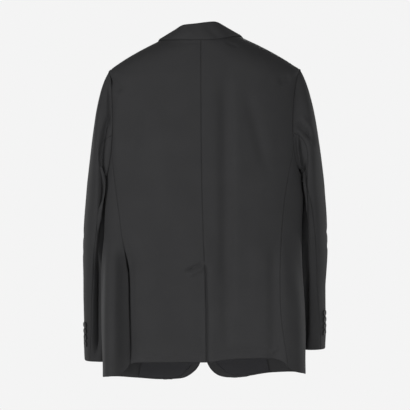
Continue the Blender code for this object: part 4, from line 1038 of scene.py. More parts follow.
def face_away(bm, outward):
    """Turn the sheet's face away from the jacket's middle, or towards it."""
    total = 0.0
    for face in bm.faces:
        middle = face.calc_center_median()
        total += face.normal.dot(Vector((middle.x, middle.y, 0.0))) * face.calc_area()
    if total * outward < 0:
        bmesh.ops.reverse_faces(bm, faces=bm.faces)


def new_object(name, bm):
    """An object of this name, from the bmesh, which is used up."""
    mesh = bpy.data.meshes.new(name)
    bm.to_mesh(mesh)
    bm.free()
    thing = bpy.data.objects.new(name, mesh)
    bpy.context.scene.collection.objects.link(thing)
    return thing


def applied(thing):
    """Make the object's modifiers part of its mesh."""
    graph = bpy.context.evaluated_depsgraph_get()
    mesh = bpy.data.meshes.new_from_object(thing.evaluated_get(graph))
    thing.modifiers.clear()
    old = thing.data
    thing.data = mesh
    bpy.data.meshes.remove(old)
    mesh.name = thing.name


def one_crease(crease, places):
    """How far a crease moves each of these places, across and in height, outwards."""
    start = np.array((crease.start_across, crease.start_height))
    way = np.array((crease.end_across, crease.end_height)) - start
    length = math.hypot(*way)
    way /= length
    gap = places - start
    along = gap @ way / length
    aside = gap[:, 0] * way[1] - gap[:, 1] * way[0]
    aside -= crease.bow * 4 * along * (1 - along)
    ends = np.clip(np.minimum(along, 1 - along) / CREASE_ENDS + CREASE_LEFT, 0, 1)
    ends = ends * ends * (3 - 2 * ends)
    reach = np.where(aside > 0, crease.reach, crease.beyond or crease.reach)
    return crease.rise * ends * np.exp(-(aside / reach) ** 2)


def crease_rise(name, points, normals):
    """How far the creases that cross this piece move each of its points outwards."""
    rise = np.zeros(len(points))
    for (on, looks), creases in CREASES.items():
        if on not in name:
            continue
        face = FACES[looks]
        facing = np.clip(normals[:, face.axis] * face.way / CREASE_FACING, 0, 1)
        for crease in creases:
            rise += facing * one_crease(crease, points[:, (face.across, 2)])
    return rise * settings().crease_share


def unevenness(points):
    """The small swells that no worn cloth is without."""
    size, depth = settings().swell_size, settings().swell_depth
    out = np.zeros(len(points))
    for i, point in enumerate(points):
        place = Vector(point) / size
        place.z *= SWELL_UPRIGHT
        out[i] = noise.noise(place)
        out[i] += FINER_DEPTH * noise.noise(place * FINER_SWELL + FINER_SHIFT)
    return out * depth


def edge_distance(bm):
    """How far each point is from the sheet's edge."""
    edge = [vert.co.copy() for vert in bm.verts if vert.is_boundary]
    tree = kdtree.KDTree(len(edge))
    for i, point in enumerate(edge):
        tree.insert(point, i)
    tree.balance()
    return np.array([tree.find(vert.co)[2] for vert in bm.verts])


def dress(thing, piece=OUTER):
    """Round the sheet, roll its edges in at the seams, crease it and give it its thickness."""
    smooth = thing.modifiers.new("smooth", "SUBSURF")
    smooth.levels = smooth.render_levels = 1
    smooth.boundary_smooth = "PRESERVE_CORNERS"
    applied(thing)
    bm = bmesh.new()
    bm.from_mesh(thing.data)
    bm.normal_update()
    bm.verts.ensure_lookup_table()
    points = np.array([vert.co for vert in bm.verts])
    normals = np.array([vert.normal for vert in bm.verts])
    from_edge = edge_distance(bm)
    roll = np.exp(-(from_edge / settings().seam_width) ** 2)
    inner = np.clip(from_edge / SWELL_FADE, 0, 1)
    rise = crease_rise(thing.name, points, normals) + unevenness(points) * inner
    rise -= roll * settings().seam_depth
    # The seam mask, which the worsted finishes use for painted shade or a painted highlight along the
    # edges
    seam = bm.verts.layers.float.new("seam")
    for vert, step, near in zip(bm.verts, rise, roll):
        vert.co += vert.normal * step
        vert[seam] = near
    bm.to_mesh(thing.data)
    bm.free()
    thing.data.shade_smooth()
    wall = thing.modifiers.new("thickness", "SOLIDIFY")
    wall.thickness = piece.cloth * WALL_SHARE
    wall.offset = -1
    thing.data.materials.clear()
    thing.data.materials.append(finish(piece.finish))
    # Outer pieces show the inside finish on their inner shell and rims: the worsted painted lighter,
    # as painted light
    if piece is OUTER:
        thing.data.materials.append(finish("inside"))
        wall.material_offset = 1
    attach(thing, "root")


def cut_piece(name, columns, rows, place, piece=OUTER, add_to=None):
    """One cloth piece, from its points to its place in the jacket."""
    bm = cloth_grid(columns, rows, place)
    if add_to:
        add_to(bm)
    bm.normal_update()
    face_away(bm, piece.outward)
    thing = new_object(name + "_cloth", bm)
    dress(thing, piece)
    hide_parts(name)
    "suiting" if piece.cloth == CLOTH else "facing"


# ---- the back ----

def back_seam_turn(side, height):
    """The turn of the back's side seam."""
    return turn_at_x(side * back_seam_x[side](height), height)


def seam_foot_turn(side):
    """The turn where the back's side seam meets the hem."""
    turn = FOOT_START
    for _ in range(FOOT_SEARCHES):
        height = hem_height(side * turn)
        turn = abs(back_seam_turn(side, height))
    return turn


def back_meets_armhole(side):
    """The height where the back's side seam runs into the armhole."""
    def below_armhole(height):
        armhole_turn, _ = armhole_turn_height(side, around_at_height(side, height))
        return abs(armhole_turn) > abs(back_seam_turn(side, height))
    return last_place(ARMHOLE[side].bottom, armhole_heights(side)[0], below_armhole)


def neckline_height(side, turn):
    """The neck seam over the back, from the centre back up to the neck's side."""
    return blend(NECK_BACK_HEIGHT, NECK_POINT[side].height, ease(abs(turn) / 90))


def armhole_around_at_turn(side, turn):
    """The armhole's angle, in its lower half, where it stands at this turn."""
    return last_place(90.0, 270.0,
                      lambda around: abs(armhole_turn_height(side, around)[0]) < turn)


def armhole_joins(side):
    """The armhole's angles where the side panel meets the back and the front."""
    return (around_at_height(side, back_meets_armhole(side)),
            armhole_around_at_turn(side, FRONT_SEAM_TURN))


def armhole_stops(side):
    """The armhole's angles where the panels' points lie, once round from the shoulder's tip."""
    back, front = armhole_joins(side)
    stops = [back * share for share in steps(BACK_ARMHOLE_STEPS)[:-1]]
    stops += [blend(back, front, share) for share in steps(SIDE_COLUMNS)[:-1]]
    stops += [blend(front, 360, share) for share in steps(FRONT_ARMHOLE_STEPS)]
    return stops


def back_rows(side):
    """Heights of the back's lines of points, closer where the armhole curves."""
    corner, loop = back_meets_armhole(side), ARMHOLE[side]
    rows = [blend(hem_height(0), VENT_TOP, share) for share in steps(BACK_STEPS)]
    rows += [blend(VENT_TOP, corner, share) for share in steps(BACK_STEPS)[1:]]
    start = around_at_height(side, corner)
    rows += [armhole_turn_height(side, start * (1 - share))[1]
             for share in steps(BACK_ARMHOLE_STEPS)[1:-1]]
    rows += [blend(loop.top, NECK_BACK_HEIGHT, share) for share in steps(BACK_SHOULDER_STEPS)]
    return rows


def hem_sweep(base):
    """How much of the hem's shape a line of points keeps, by its height at the centre back."""
    return max(0.0, 1 - (base - hem_height(0)) / HEM_SWEEP) ** HEM_POWER


def seam_heights(side):
    """Where the back's lines of points meet its side seam."""
    heights = []
    for base in back_rows(side)[:2 * BACK_STEPS + 1]:
        turn = back_seam_turn(side, base)
        for _ in range(HEM_SEARCHES):
            height = base + (hem_height(turn) - hem_height(0)) * hem_sweep(base)
            turn = back_seam_turn(side, height)
        heights.append(height)
    return heights


def back_half(side):
    """Half of the back, from the hem to the shoulder and the neck."""
    rows = back_rows(side)
    corner, tip = back_meets_armhole(side), ARMHOLE[side].top
    at_seam = seam_heights(side)
    neck_rise = NECK_POINT[side].height - NECK_BACK_HEIGHT

    def outer_place(row):
        """The turn and height where a line of points ends."""
        base = rows[row]
        if row < len(at_seam):
            turn = back_seam_turn(side, at_seam[row])
            return turn - side * turn_step(turn, base, SEAM_GAP / 2), at_seam[row]
        if base <= tip:
            return armhole_turn_height(side, around_at_height(side, base))
        height = base + neck_rise * (base - tip) / (NECK_BACK_HEIGHT - tip)
        return side * (90 - turn_step(90, height, SEAM_GAP / 2)), height

    def place(column, row):
        share, base = column / BACK_COLUMNS, rows[row]
        if share == 1 and corner < base <= tip:
            return armhole_edge(side, around_at_height(side, base), -1)
        centre = turn_at_x(centre_back_x(base), base) + side * turn_step(0, base, SEAM_GAP / 2)
        outer_turn, outer_height = outer_place(row)
        turn = blend(centre, outer_turn, share)
        height = blend(base, outer_height, share * share)
        if row < len(at_seam) and share < 1:
            height = base + (hem_height(turn) - hem_height(0)) * hem_sweep(base)
        return body_place(turn, height, vent_rise(side, turn, height))[0]

    cut_piece("back_" + SIDE_NAMES[side], BACK_COLUMNS, len(rows) - 1, place,
              add_to=vent_underlap if side == RIGHT else None)


def vent_rise(side, turn, height):
    """Beside the vent the left half lies on the right half, which passes under it."""
    aside = abs(smooth_body_point(turn, height).x - centre_back_x(height))
    near = 1 - ease(aside / VENT_REACH[side])
    return VENT_RISE[side] * near * ease((VENT_TOP - height) / VENT_FADE)


def vent_underlap(bm):
    """Carry the right half's vent edge on, under the left half."""
    def on_vent(vert):
        aside = vert.co.x - centre_back_x(vert.co.z)
        in_vent = vert.co.z < VENT_TOP + HEIGHT_STEP
        return vert.is_boundary and abs(aside) < SEAM_GAP * -2 and in_vent

    edges = [edge for edge in bm.edges if all(on_vent(vert) for vert in edge.verts)]
    for reach in steps(UNDERLAP_COLUMNS)[1:]:
        made = bmesh.ops.extrude_edge_only(bm, edges=edges)["geom"]
        new_verts = [item for item in made if isinstance(item, bmesh.types.BMVert)]
        edges = [item for item in made if isinstance(item, bmesh.types.BMEdge)
                 and all(vert in new_verts for vert in item.verts)]
        for vert in new_verts:
            height = min(vert.co.z, VENT_TOP - VENT_STAY_DROP * reach)
            x = centre_back_x(height) - VENT_UNDERLAP * reach
            vert.co = body_place(turn_at_x(x, height), height, VENT_RISE[RIGHT])[0]


# ---- side panels ----

def side_panel(side):
    """The panel under the arm, from the hem to the armhole."""
    corner = back_meets_armhole(side)
    back_around, front_around = armhole_joins(side)
    corner_turn = abs(armhole_turn_height(side, back_around)[0])
    foot_turn = seam_foot_turn(side)
    foot_height = hem_height(side * foot_turn)
    rows = [(height - foot_height) / (corner - foot_height) for height in seam_heights(side)]
    rows[0], rows[-1] = 0, 1

    def place(column, row):
        u, v = column / SIDE_COLUMNS, rows[row]
        around = blend(back_around, front_around, u)
        top_turn, top_height = armhole_turn_height(side, around)
        if v == 1 and 0 < u < 1:
            return armhole_edge(side, around, -1)
        foot = hem_height(side * blend(foot_turn, FRONT_SEAM_TURN, u))
        height = blend(foot, top_height, v)
        behind = abs(back_seam_turn(side, height))
        behind += turn_step(behind, height, SEAM_GAP / 2)
        before = FRONT_SEAM_TURN - turn_step(FRONT_SEAM_TURN, height, SEAM_GAP / 2)
        turn = blend(behind, before, u)
        at_top = blend(corner_turn, FRONT_SEAM_TURN, u)
        turn += (abs(top_turn) - at_top) * v ** SIDE_TOP_POWER
        return body_place(side * turn, height)[0]

    cut_piece("side_panel_" + SIDE_NAMES[side], SIDE_COLUMNS, len(rows) - 1, place)


# ---- fronts ----

def between(start, end, share):
    """A point on the straight line from start to end."""
    return EdgePoint(blend(start.x, end.x, share), blend(start.height, end.height, share))


def along_corner(start, middle, end, corner, share):
    """A point on two straight lines that meet where share is corner."""
    if share < corner:
        return between(start, middle, share / corner)
    return between(middle, end, (share - corner) / (1 - corner))


def smooth_path(points):
    """A path through the points, by the share of its length."""
    runs = running_lengths(points)
    places = [run / runs[-1] for run in runs]
    x, height = (curve_through(places, [getattr(point, column) for point in points])
                 for column in EdgePoint._fields)
    return lambda share: EdgePoint(x(share), height(share))


def lowered(side, x, height):
    """How far the right front lies inwards, under the left one."""
    if side == LEFT:
        return 0.0
    sink = 1 - ease((x - UNDER_FADE[0]) / (UNDER_FADE[1] - UNDER_FADE[0]))
    return -UNDER_LEFT_FRONT * sink * ease((UNDER_TOP - height) / UNDER_TOP_FADE)


def front_turn(side, x, height):
    """The turn of a place on a front, past 180 where the front laps over the middle."""
    turn = abs(turn_at_x(x, height, front=True))
    return side * (turn if x * side >= 0 else 360 - turn)


def front_place(side, x, height, rise=0.0):
    """A point that far outside a front, by X and not by turn, and the form's normal there."""
    return body_place(front_turn(side, x, height), height, rise + lowered(side, x, height))


def front_panel(side):
    """A front, from its rounded corner to the shoulder, the neck and the armhole."""
    edge = [EdgePoint(side * point.x, point.height) for point in FRONT_EDGE[side]]
    edge_path = smooth_path(edge)
    gorge = EdgePoint(side * GORGE.x, GORGE.height)
    neck = EdgePoint(side * NECK_POINT[side].x, NECK_POINT[side].height)
    join_around = armhole_around_at_turn(side, FRONT_SEAM_TURN)
    join_height = armhole_turn_height(side, join_around)[1]
    foot = hem_height(side * FRONT_SEAM_TURN)
    row_count = FRONT_SEAM_STEPS + FRONT_ARMHOLE_STEPS
    low_share = FRONT_SEAM_STEPS / row_count
    break_share, gorge_share = BREAK_ROW / row_count, GORGE_ROW / row_count

    def inner_point(v):
        if v <= break_share:
            return edge_path((v / break_share) ** EDGE_CROWDING)
        if v <= gorge_share:
            return between(edge[-1], gorge, (v - break_share) / (gorge_share - break_share))
        return between(gorge, neck, (v - gorge_share) / (1 - gorge_share))

    def place(column, row):
        u, v = column / FRONT_COLUMNS, row / row_count
        inner = inner_point(v)
        inner_turn = front_turn(side, inner.x, inner.height)
        on_seam = v <= low_share
        if on_seam:
            outer_height = blend(foot, join_height, v / low_share)
            outer_turn = side * FRONT_SEAM_TURN
            outer_turn += side * turn_step(outer_turn, outer_height, SEAM_GAP / 2)
        else:
            around = blend(join_around, 360, (v - low_share) / (1 - low_share))
            outer_turn, outer_height = armhole_turn_height(side, around)
        turn = blend(inner_turn, outer_turn, u)
        height = blend(inner.height, outer_height, u)
        sweep = max(0.0, 1 - v / FRONT_HEM_SHARE) ** HEM_POWER
        sweep *= ease(u / HEM_ARRIVAL) * ease((1 - u) / HEM_ARRIVAL)
        height += (hem_height(turn) - blend(inner_point(0).height, foot, u)) * sweep
        if u == 1 and not on_seam:
            point = armhole_edge(side, around, -1)
            if v == 1:
                point += Vector((0, SEAM_GAP / 2, 0))
            return point
        if v == 1:
            turn += side * turn_step(90, height, SEAM_GAP / 2)
        x = smooth_body_point(turn, height).x
        return body_place(turn, height, lowered(side, x, height))[0]

    cut_piece("front_" + SIDE_NAMES[side], FRONT_COLUMNS, row_count, place)


def lapel(side):
    """The turned-back top of the facing, from the break up to the gorge and the notch."""
    start = EdgePoint(LAPEL_FOOT.x + LAPEL_FOOT_WIDTH, LAPEL_FOOT.height)

    def place(column, row):
        u, v = max(column - len(LAPEL_ROLL), 0) / LAPEL_COLUMNS, row / LAPEL_ROWS
        roll, edge = between(LAPEL_FOOT, GORGE, v), between(start, LAPEL_TIP, v)
        belly = LAPEL_BELLY * math.sin(math.pi * v) ** LAPEL_BELLY_POWER
        x, height = blend(roll.x, edge.x + belly, u), blend(roll.height, edge.height, u)
        straight = between(GORGE, LAPEL_TIP, u)
        top = along_corner(GORGE, NOTCH, LAPEL_TIP, LAPEL_CORNER, u)
        x += (top.x - straight.x) * v ** LAPEL_TOP_POWER
        height += (top.height - straight.height - SEAM_GAP) * v ** LAPEL_TOP_POWER
        loft = math.sin(math.pi * u) ** 2 * ease((v - LAPEL_LOFT_FROM) * LAPEL_LOFT_SPEED)
        lift = LAPEL_GAP + FACING_CLOTH + LAPEL_LOFT * loft
        if column < len(LAPEL_ROLL):
            x -= LAPEL_ROLL[column].beyond
            lift = LAPEL_ROLL[column].rise
        return front_place(side, side * x, height, lift)[0]

    cut_piece("lapel_" + SIDE_NAMES[side], LAPEL_COLUMNS + len(LAPEL_ROLL), LAPEL_ROWS, place,
              LAPEL)


def facing(side):
    """The strip inside a front's edge, from the hem up to just below the break."""
    upright = [point for point in FRONT_EDGE[side] if point.height >= FACING_BOTTOM - FACING_REACH]
    edge_x = table_curve(upright, "height", "x")

    def place(column, row):
        u, v = column / FACING_COLUMNS, row / FACING_ROWS
        level = blend(FACING_BOTTOM, FACING_TOP, v)
        width = blend(FACING_WIDTH, FACING_TOP_WIDTH, ease(v))
        x = side * (edge_x(level) + FACING_INSET + width * u)
        hem = hem_height(turn_at_x(x, level, front=True)) + FACING_INSET
        corner = ease((side * x - FACING_CORNER[0]) / (FACING_CORNER[1] - FACING_CORNER[0]))
        height = level + (hem - level) * max(0.0, 1 - v / FACING_HEM_SHARE) * corner
        return front_place(side, x, height, -CLOTH - FACING_GAP)[0]

    # Its finish is the facing's worsted painted lighter, as painted light, with a painted highlight
    # at its edges
    cut_piece("facing_" + SIDE_NAMES[side], FACING_COLUMNS, FACING_ROWS, place, FACED_PAINTED_LIGHT)


# ---- the collar ----

fold_curve = table_curves(COLLAR, "place")


def neck_turn(side, share):
    """The turn of a place round the back of the neck."""
    return side * 90 * share / NECK_SHARE


def down_front(share):
    """How far a place is from the neck's side (0) down to the gorge (1)."""
    return (share - NECK_SHARE) / (1 - NECK_SHARE)


def neck_edge(side, share):
    """The body's neck edge, halfway through the cloth, from the centre back to the gorge."""
    if share <= NECK_SHARE:
        turn = neck_turn(side, share)
        return body_place(turn, neckline_height(side, turn), -CLOTH / 2)
    point = between(NECK_POINT[side], GORGE, down_front(share))
    return front_place(side, side * point.x, point.height, -CLOTH / 2)


def collar_seam(side, share):
    """Where the stand starts, clear of the body's edge, with the cloth's direction there."""
    point, outwards = neck_edge(side, share)
    ahead = (neck_edge(side, min(share + NECK_STEP, 1))[0]
             - neck_edge(side, max(share - NECK_STEP, 0))[0])
    away = outwards.cross(ahead).normalized()
    if away.dot(Vector((NECK_MIDDLE_X, 0, COLLAR_AIM_HEIGHT)) - point) < 0:
        away.negate()
    return point + away * COLLAR_SEAM_GAP, outwards, away


def collar_edge(side, share):
    """The collar's free edge, over the shoulders and down the fronts to the collar's tip."""
    lift = COLLAR_CLOTH / 2 + COLLAR_LIFT
    side_height = COLLAR_SIDE_HEIGHT[side]
    if share <= NECK_SHARE:
        turn = neck_turn(side, share)
        return body_place(turn, side_height * ease(abs(turn) / COLLAR_EDGE_TURN), lift)
    down = down_front(share)
    x = blend(abs(smooth_body_point(side * 90, side_height).x), COLLAR_TIP.x, down)
    height = blend(side_height, COLLAR_TIP.height, down ** COLLAR_EDGE_POWER)
    return front_place(side, side * x, height, lift)


def collar_end(side, t):
    """The collar's front end, from its tip past the notch and along the gorge to the roll."""
    end = along_corner(COLLAR_TIP, NOTCH, GORGE, COLLAR_CORNER, t)
    lift = COLLAR_CLOTH / 2 + COLLAR_LIFT
    return front_place(side, side * end.x, end.height + COLLAR_END_GAP, lift)[0]


def clear_of_body(point, lift):
    """The point, moved out where it must be to lie this far outside the body."""
    turn = turn_at_x(point.x, point.z, front=point.y > 0)
    surface, outwards = body_place(turn, point.z)
    short = lift - (point - surface).dot(outwards)
    return point + outwards * (short + math.hypot(short, COLLAR_SOFTNESS)) / 2


def collar_fold(side, share):
    """The middle of the fold's round: free round the back of the neck, then beside the neck
    seam, ever closer to it, down to the gorge."""
    if share <= NECK_SHARE:
        tilt = COLLAR_RIGHT_LIFT * side * share * (1 - share) * 2
        return Vector((NECK_MIDDLE_X * (1 - share ** 3) + side * fold_curve["fold_out"](share),
                       fold_curve["fold_forward"](share),
                       fold_curve["fold_height"](share) + tilt))
    neck_seam, neck_outwards, neck_away = collar_seam(side, NECK_SHARE)
    offset = collar_fold(side, NECK_SHARE) - neck_seam
    offset_away, offset_out = offset.dot(neck_away), offset.dot(neck_outwards)
    rest = offset - neck_away * offset_away - neck_outwards * offset_out
    seam, outwards, away = collar_seam(side, share)
    down = down_front(share)
    return (seam + away * blend(offset_away, COLLAR_FOLD_RADIUS / 2, down)
            + outwards * blend(offset_out, (CLOTH + COLLAR_FOLD_RADIUS) / 2, ease(down * 2))
            + rest * (1 - down) ** 2)


def collar_line(side, share):
    """One crossing of the collar from its free edge, over the fold, to the neck seam: points
    halfway through the cloth, each with a direction towards the collar's face."""
    seam, _, away = collar_seam(side, share)
    edge, edge_outwards = collar_edge(side, share)
    fold = collar_fold(side, share)
    along = (collar_fold(side, min(share + FOLD_STEP, 1))
             - collar_fold(side, max(share - FOLD_STEP, 0)))
    if share < FOLD_STEP:
        along = Vector((side, 0, 0))
    along.normalize()
    up = fold - (edge + seam) / 2
    up = (up - along * up.dot(along)).normalized()
    out = up.cross(along).normalized()
    if out.dot((edge - seam).normalized() + edge_outwards) < 0:
        out.negate()
    crest = fold + out * COLLAR_FOLD_RADIUS
    points, faces = [], []
    for t in steps(COLLAR_FALL_STEPS):
        bulge = COLLAR_BULGE * (1 - ease(share / NECK_SHARE))
        point = edge.lerp(crest, t) + out * bulge * math.sin(math.pi * t)
        if share == 1 and t < 1:
            point = collar_end(side, t)
        if t > 0:
            point = clear_of_body(point, COLLAR_CLOTH / 2 + COLLAR_LIFT)
        points.append(point)
        faces.append(out)
    for angle in COLLAR_FOLD_ANGLES:
        way = out * math.cos(angle * DEGREES) + up * math.sin(angle * DEGREES)
        points.append(fold + way * COLLAR_FOLD_RADIUS)
        faces.append(way)
    foot = fold - out * COLLAR_FOLD_RADIUS
    near = seam + away * min(COLLAR_STAND_FOOT, (foot - seam).length / 3)
    for point in (foot, foot.lerp(near, 0.5), near, seam):
        points.append(point)
        faces.append(-out)
    return points, faces


def collar():
    """One cloth that rises from inside the neck seam, turns over the fold and falls to its edge."""
    lines = []
    for i in range(COLLAR_STATIONS + 1):
        along = 2 * i / COLLAR_STATIONS - 1
        side, share = LEFT if along < 0 else RIGHT, abs(along)
        line = [point + face * COLLAR_CLOTH / 2
                for point, face in zip(*collar_line(side, share))]
        _, outwards, away = collar_seam(side, share)
        tuck = 1 - ease((share - NECK_SHARE) / COLLAR_TUCK_FADE)
        line.append(line[-1] - away * blend(COLLAR_TUCK_LEAST, COLLAR_TUCK, tuck)
                    - outwards * COLLAR_TUCK_IN * tuck)
        lines.append(line)
    cut_piece("collar", COLLAR_STATIONS, len(lines[0]) - 1,
              lambda column, row: lines[column][row])


# ---- sleeves as cloth ----

def sleeve_turns(side, top):
    """The angles at the armhole of the sleeve half's lines, each where a panel's line ends."""
    stops = armhole_stops(side)[:-1]
    hindarm = min(stops, key=lambda stop: abs(stop - seam_curve["hindarm"](0)))
    forearm = min(stops, key=lambda stop: abs(stop - seam_curve["forearm"](0)))
    if top:
        return [stop - 360 for stop in stops if stop >= forearm] + [
            stop for stop in stops if stop <= hindarm]
    return [stop for stop in stops if hindarm <= stop <= forearm]


def sleeve_half(side, top):
    """The top sleeve, over the outside of the arm, or the under sleeve, next to the body."""
    turns = sleeve_turns(side, top)
    last = len(turns) - 1
    rows = [share * share * (2 - share) for share in steps(CAP_ROWS)]
    rows += [blend(1, len(SLEEVE), share) for share in steps(ARM_ROWS)[1:]]

    def line_turn(column, along):
        """A line's angle, which further down is evenly spaced between the seams."""
        hindarm, forearm = seam_curve["hindarm"](along), seam_curve["forearm"](along)
        start, end = (forearm - 360, hindarm) if top else (hindarm, forearm)
        even = blend(start, end, column / last)
        return blend(turns[column], even, ease(along / EVEN_BY))

    def place(column, row):
        along = rows[row]
        turn = line_turn(column, along)
        if along <= 0:
            return armhole_edge(side, turn, 1)
        return sleeve_point(side, turn, along)

    name = ("top_sleeve_" if top else "under_sleeve_") + SIDE_NAMES[side]
    cut_piece(name, last, len(rows) - 1, place, OUTER if top else UNDER)


# ---- pockets ----

def pocket_flap(side):
    """A hip pocket's flap, which lies on the front and the side panel."""
    def place(column, row):
        u, v = column / FLAP_COLUMNS, row / FLAP_ROWS
        turn = side * blend(FLAP_TURNS[0], FLAP_TURNS[1], u)
        end = min(u, 1 - u) / FLAP_CORNER
        round_off = FLAP_ROUNDING * ease(1 - end) * (1 - v) ** 3
        height = FLAP_TOP - FLAP_HEIGHT * (1 - v) - FLAP_SLANT * (1 - u) + round_off
        return body_place(turn, height, CLOTH + LAYER_GAP)[0]
    cut_piece("pocket_flap_" + SIDE_NAMES[side], FLAP_COLUMNS, FLAP_ROWS, place)


def breast_welt():
    """The slanting welt of the breast pocket."""
    def place(column, row):
        u, v = column / WELT_COLUMNS, row / WELT_ROWS
        x = -blend(WELT_X[0], WELT_X[1], u)
        height = WELT_BOTTOM + WELT_SLANT * u + WELT_HEIGHT * v
        return body_place(turn_at_x(x, height, front=True), height, CLOTH + LAYER_GAP)[0]
    cut_piece("breast_welt", WELT_COLUMNS, WELT_ROWS, place)


# ---- buttons ----

def turned_button(centre, outwards, radius, thickness):
    """A turned button with a soft rim and a dished face, lying on the cloth at centre."""
    bm = bmesh.new()
    verts = [bm.verts.new((radius * point.out, 0.0, thickness * point.up))
             for point in BUTTON_PROFILE]
    edges = [bm.edges.new(pair) for pair in zip(verts, verts[1:])]
    bmesh.ops.spin(bm, geom=verts + edges, cent=(0, 0, 0), axis=(0, 0, 1), steps=BUTTON_STEPS,
                   angle=2 * math.pi, use_merge=True, use_duplicate=False)
    bmesh.ops.remove_doubles(bm, verts=bm.verts, dist=BUTTON_WELD)
    bmesh.ops.recalc_face_normals(bm, faces=bm.faces)
    turn = Vector((0, 0, 1)).rotation_difference(outwards).to_matrix().to_4x4()
    bmesh.ops.transform(bm, matrix=Matrix.Translation(centre) @ turn, verts=bm.verts)
    return bm


def lay_on_cloth(bm, centre, outwards):
    """Turn what was made upright so that it faces outwards, its rows level, and put it there."""
    across = Vector((0, 0, 1)).cross(outwards).normalized()
    turn = Matrix((across, outwards.cross(across), outwards)).transposed().to_4x4()
    bmesh.ops.transform(bm, matrix=Matrix.Translation(centre) @ turn, verts=bm.verts)


def button_holes(centre, outwards, radius, thickness):
    """Four drills, to be cut from a button."""
    bm = bmesh.new()
    drill, out = radius * HOLE_RADIUS, radius * HOLE_OUT
    for aside in (-out, out):
        for up in (-out, out):
            bmesh.ops.create_cone(bm, cap_ends=True, segments=HOLE_SIDES, radius1=drill,
                                  radius2=drill, depth=thickness * 2,
                                  matrix=Matrix.Translation((aside, up, thickness / 2)))
    lay_on_cloth(bm, centre, outwards)
    return new_object("drills", bm)


def button_thread(centre, outwards, radius, thickness):
    """Two bars of thread across the button's holes, bent down into them."""
    bm = bmesh.new()
    out, depth = radius * HOLE_OUT, thickness * THREAD_DEPTH
    for up in (-out, out):
        verts = bmesh.ops.create_circle(bm, segments=THREAD_SIDES,
                                        radius=radius * THREAD_RADIUS)["verts"]
        bmesh.ops.translate(bm, vec=(-out, up, depth), verts=verts)
        edges = list({edge for vert in verts for edge in vert.link_edges})
        bmesh.ops.spin(bm, geom=verts + edges, cent=(0, up, depth), axis=(0, 1, 0),
                       dvec=(0, 0, 0), angle=math.pi, steps=THREAD_STEPS, use_merge=False,
                       use_duplicate=False)
    for vert in bm.verts:
        vert.co.z = blend(depth, vert.co.z, THREAD_ARCH)
    bmesh.ops.recalc_face_normals(bm, faces=bm.faces)
    lay_on_cloth(bm, centre, outwards)
    return bm


def finish_trim(thing, name):
    """Give a small hard piece its finish, and put it in the jacket."""
    thing.data.materials.clear()
    thing.data.materials.append(finish(name))
    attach(thing, "root")


def sewn_button(name, surface, outwards, radius, thickness):
    """A horn button with four holes, and the thread that holds it."""
    centre = surface + outwards * LAYER_GAP
    thing = new_object(name + "_horn", turned_button(centre, outwards, radius, thickness))
    drills = button_holes(centre, outwards, radius, thickness)
    cut = thing.modifiers.new("holes", "BOOLEAN")
    cut.object = drills
    cut.solver = "EXACT"
    applied(thing)
    bpy.data.objects.remove(drills, do_unlink=True)
    thing.data.shade_smooth()
    thing.data.set_sharp_from_angle(angle=BUTTON_CREASE)
    finish_trim(thing, "horn")
    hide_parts(name)
    thread = new_object(name + "_thread", button_thread(centre, outwards, radius, thickness))
    thread.data.shade_smooth()
    finish_trim(thread, "thread")


def buttonhole(name, height):
    """A worked buttonhole in the left front: a long loop of close stitches behind the button."""
    bm = bmesh.new()
    bmesh.ops.create_circle(bm, segments=BUTTONHOLE_POINTS, radius=1.0)
    made = bmesh.ops.extrude_edge_only(bm, edges=bm.edges[:])["geom"]
    outer = [item for item in made if isinstance(item, bmesh.types.BMVert)]
    for vert in bm.verts:
        width = BUTTONHOLE_STITCH if vert in outer else BUTTONHOLE_SLIT
        x = BUTTONHOLE_MIDDLE + vert.co.x * (BUTTONHOLE_HALF + width)
        up = vert.co.y * width
        turn = turn_at_x(-x, height + up, front=True)
        vert.co = body_place(turn, height + up, BUTTONHOLE_LIFT)[0]
    bmesh.ops.recalc_face_normals(bm, faces=bm.faces)
    thing = new_object(name, bm)
    wall = thing.modifiers.new("thickness", "SOLIDIFY")
    wall.thickness = BUTTONHOLE_THREAD
    wall.offset = 0
    finish_trim(thing, "thread")


def front_buttons():
    """The buttons that close the left front over the right, each before its buttonhole."""
    for name, height in FRONT_BUTTON_HEIGHTS.items():
        buttonhole("buttonhole_" + name, height)
        surface, outwards = body_place(180.0, height)
        sewn_button("front_button_" + name, surface, outwards, FRONT_BUTTON_RADIUS,
                    FRONT_BUTTON_THICKNESS)


def cuff_buttons(side):
    """A row of buttons up the top sleeve's edge, beside the cuff's vent."""
    cuff = len(SLEEVE)
    around = seam_curve["hindarm"](cuff) - CUFF_BUTTON_SETBACK / SLEEVE_RADIUS / DEGREES
    stretch = sleeve_point(side, around, cuff) - sleeve_point(side, around, cuff - 1)
    for number in range(CUFF_BUTTON_COUNT):
        up = CUFF_BUTTON_LOWEST + CUFF_BUTTON_STEP * number
        place = cuff - up / stretch.length
        surface, outwards = sleeve_point(side, around, place), sleeve_normal(side, around, place)
        sewn_button(f"cuff_button_{SIDE_NAMES[side]}_{number + 1}", surface, outwards,
                    CUFF_BUTTON_RADIUS, CUFF_BUTTON_THICKNESS)


# ---- the stage ----

def pale_finish(name, colour):
    """A plain, matt finish for the floor."""
    nodes = Nodes(name)
    nodes.fill(nodes.shader, {"Base Color": colour, "Roughness": 0.75 + nodes.grain(3.0) * 0.1})
    return nodes.material


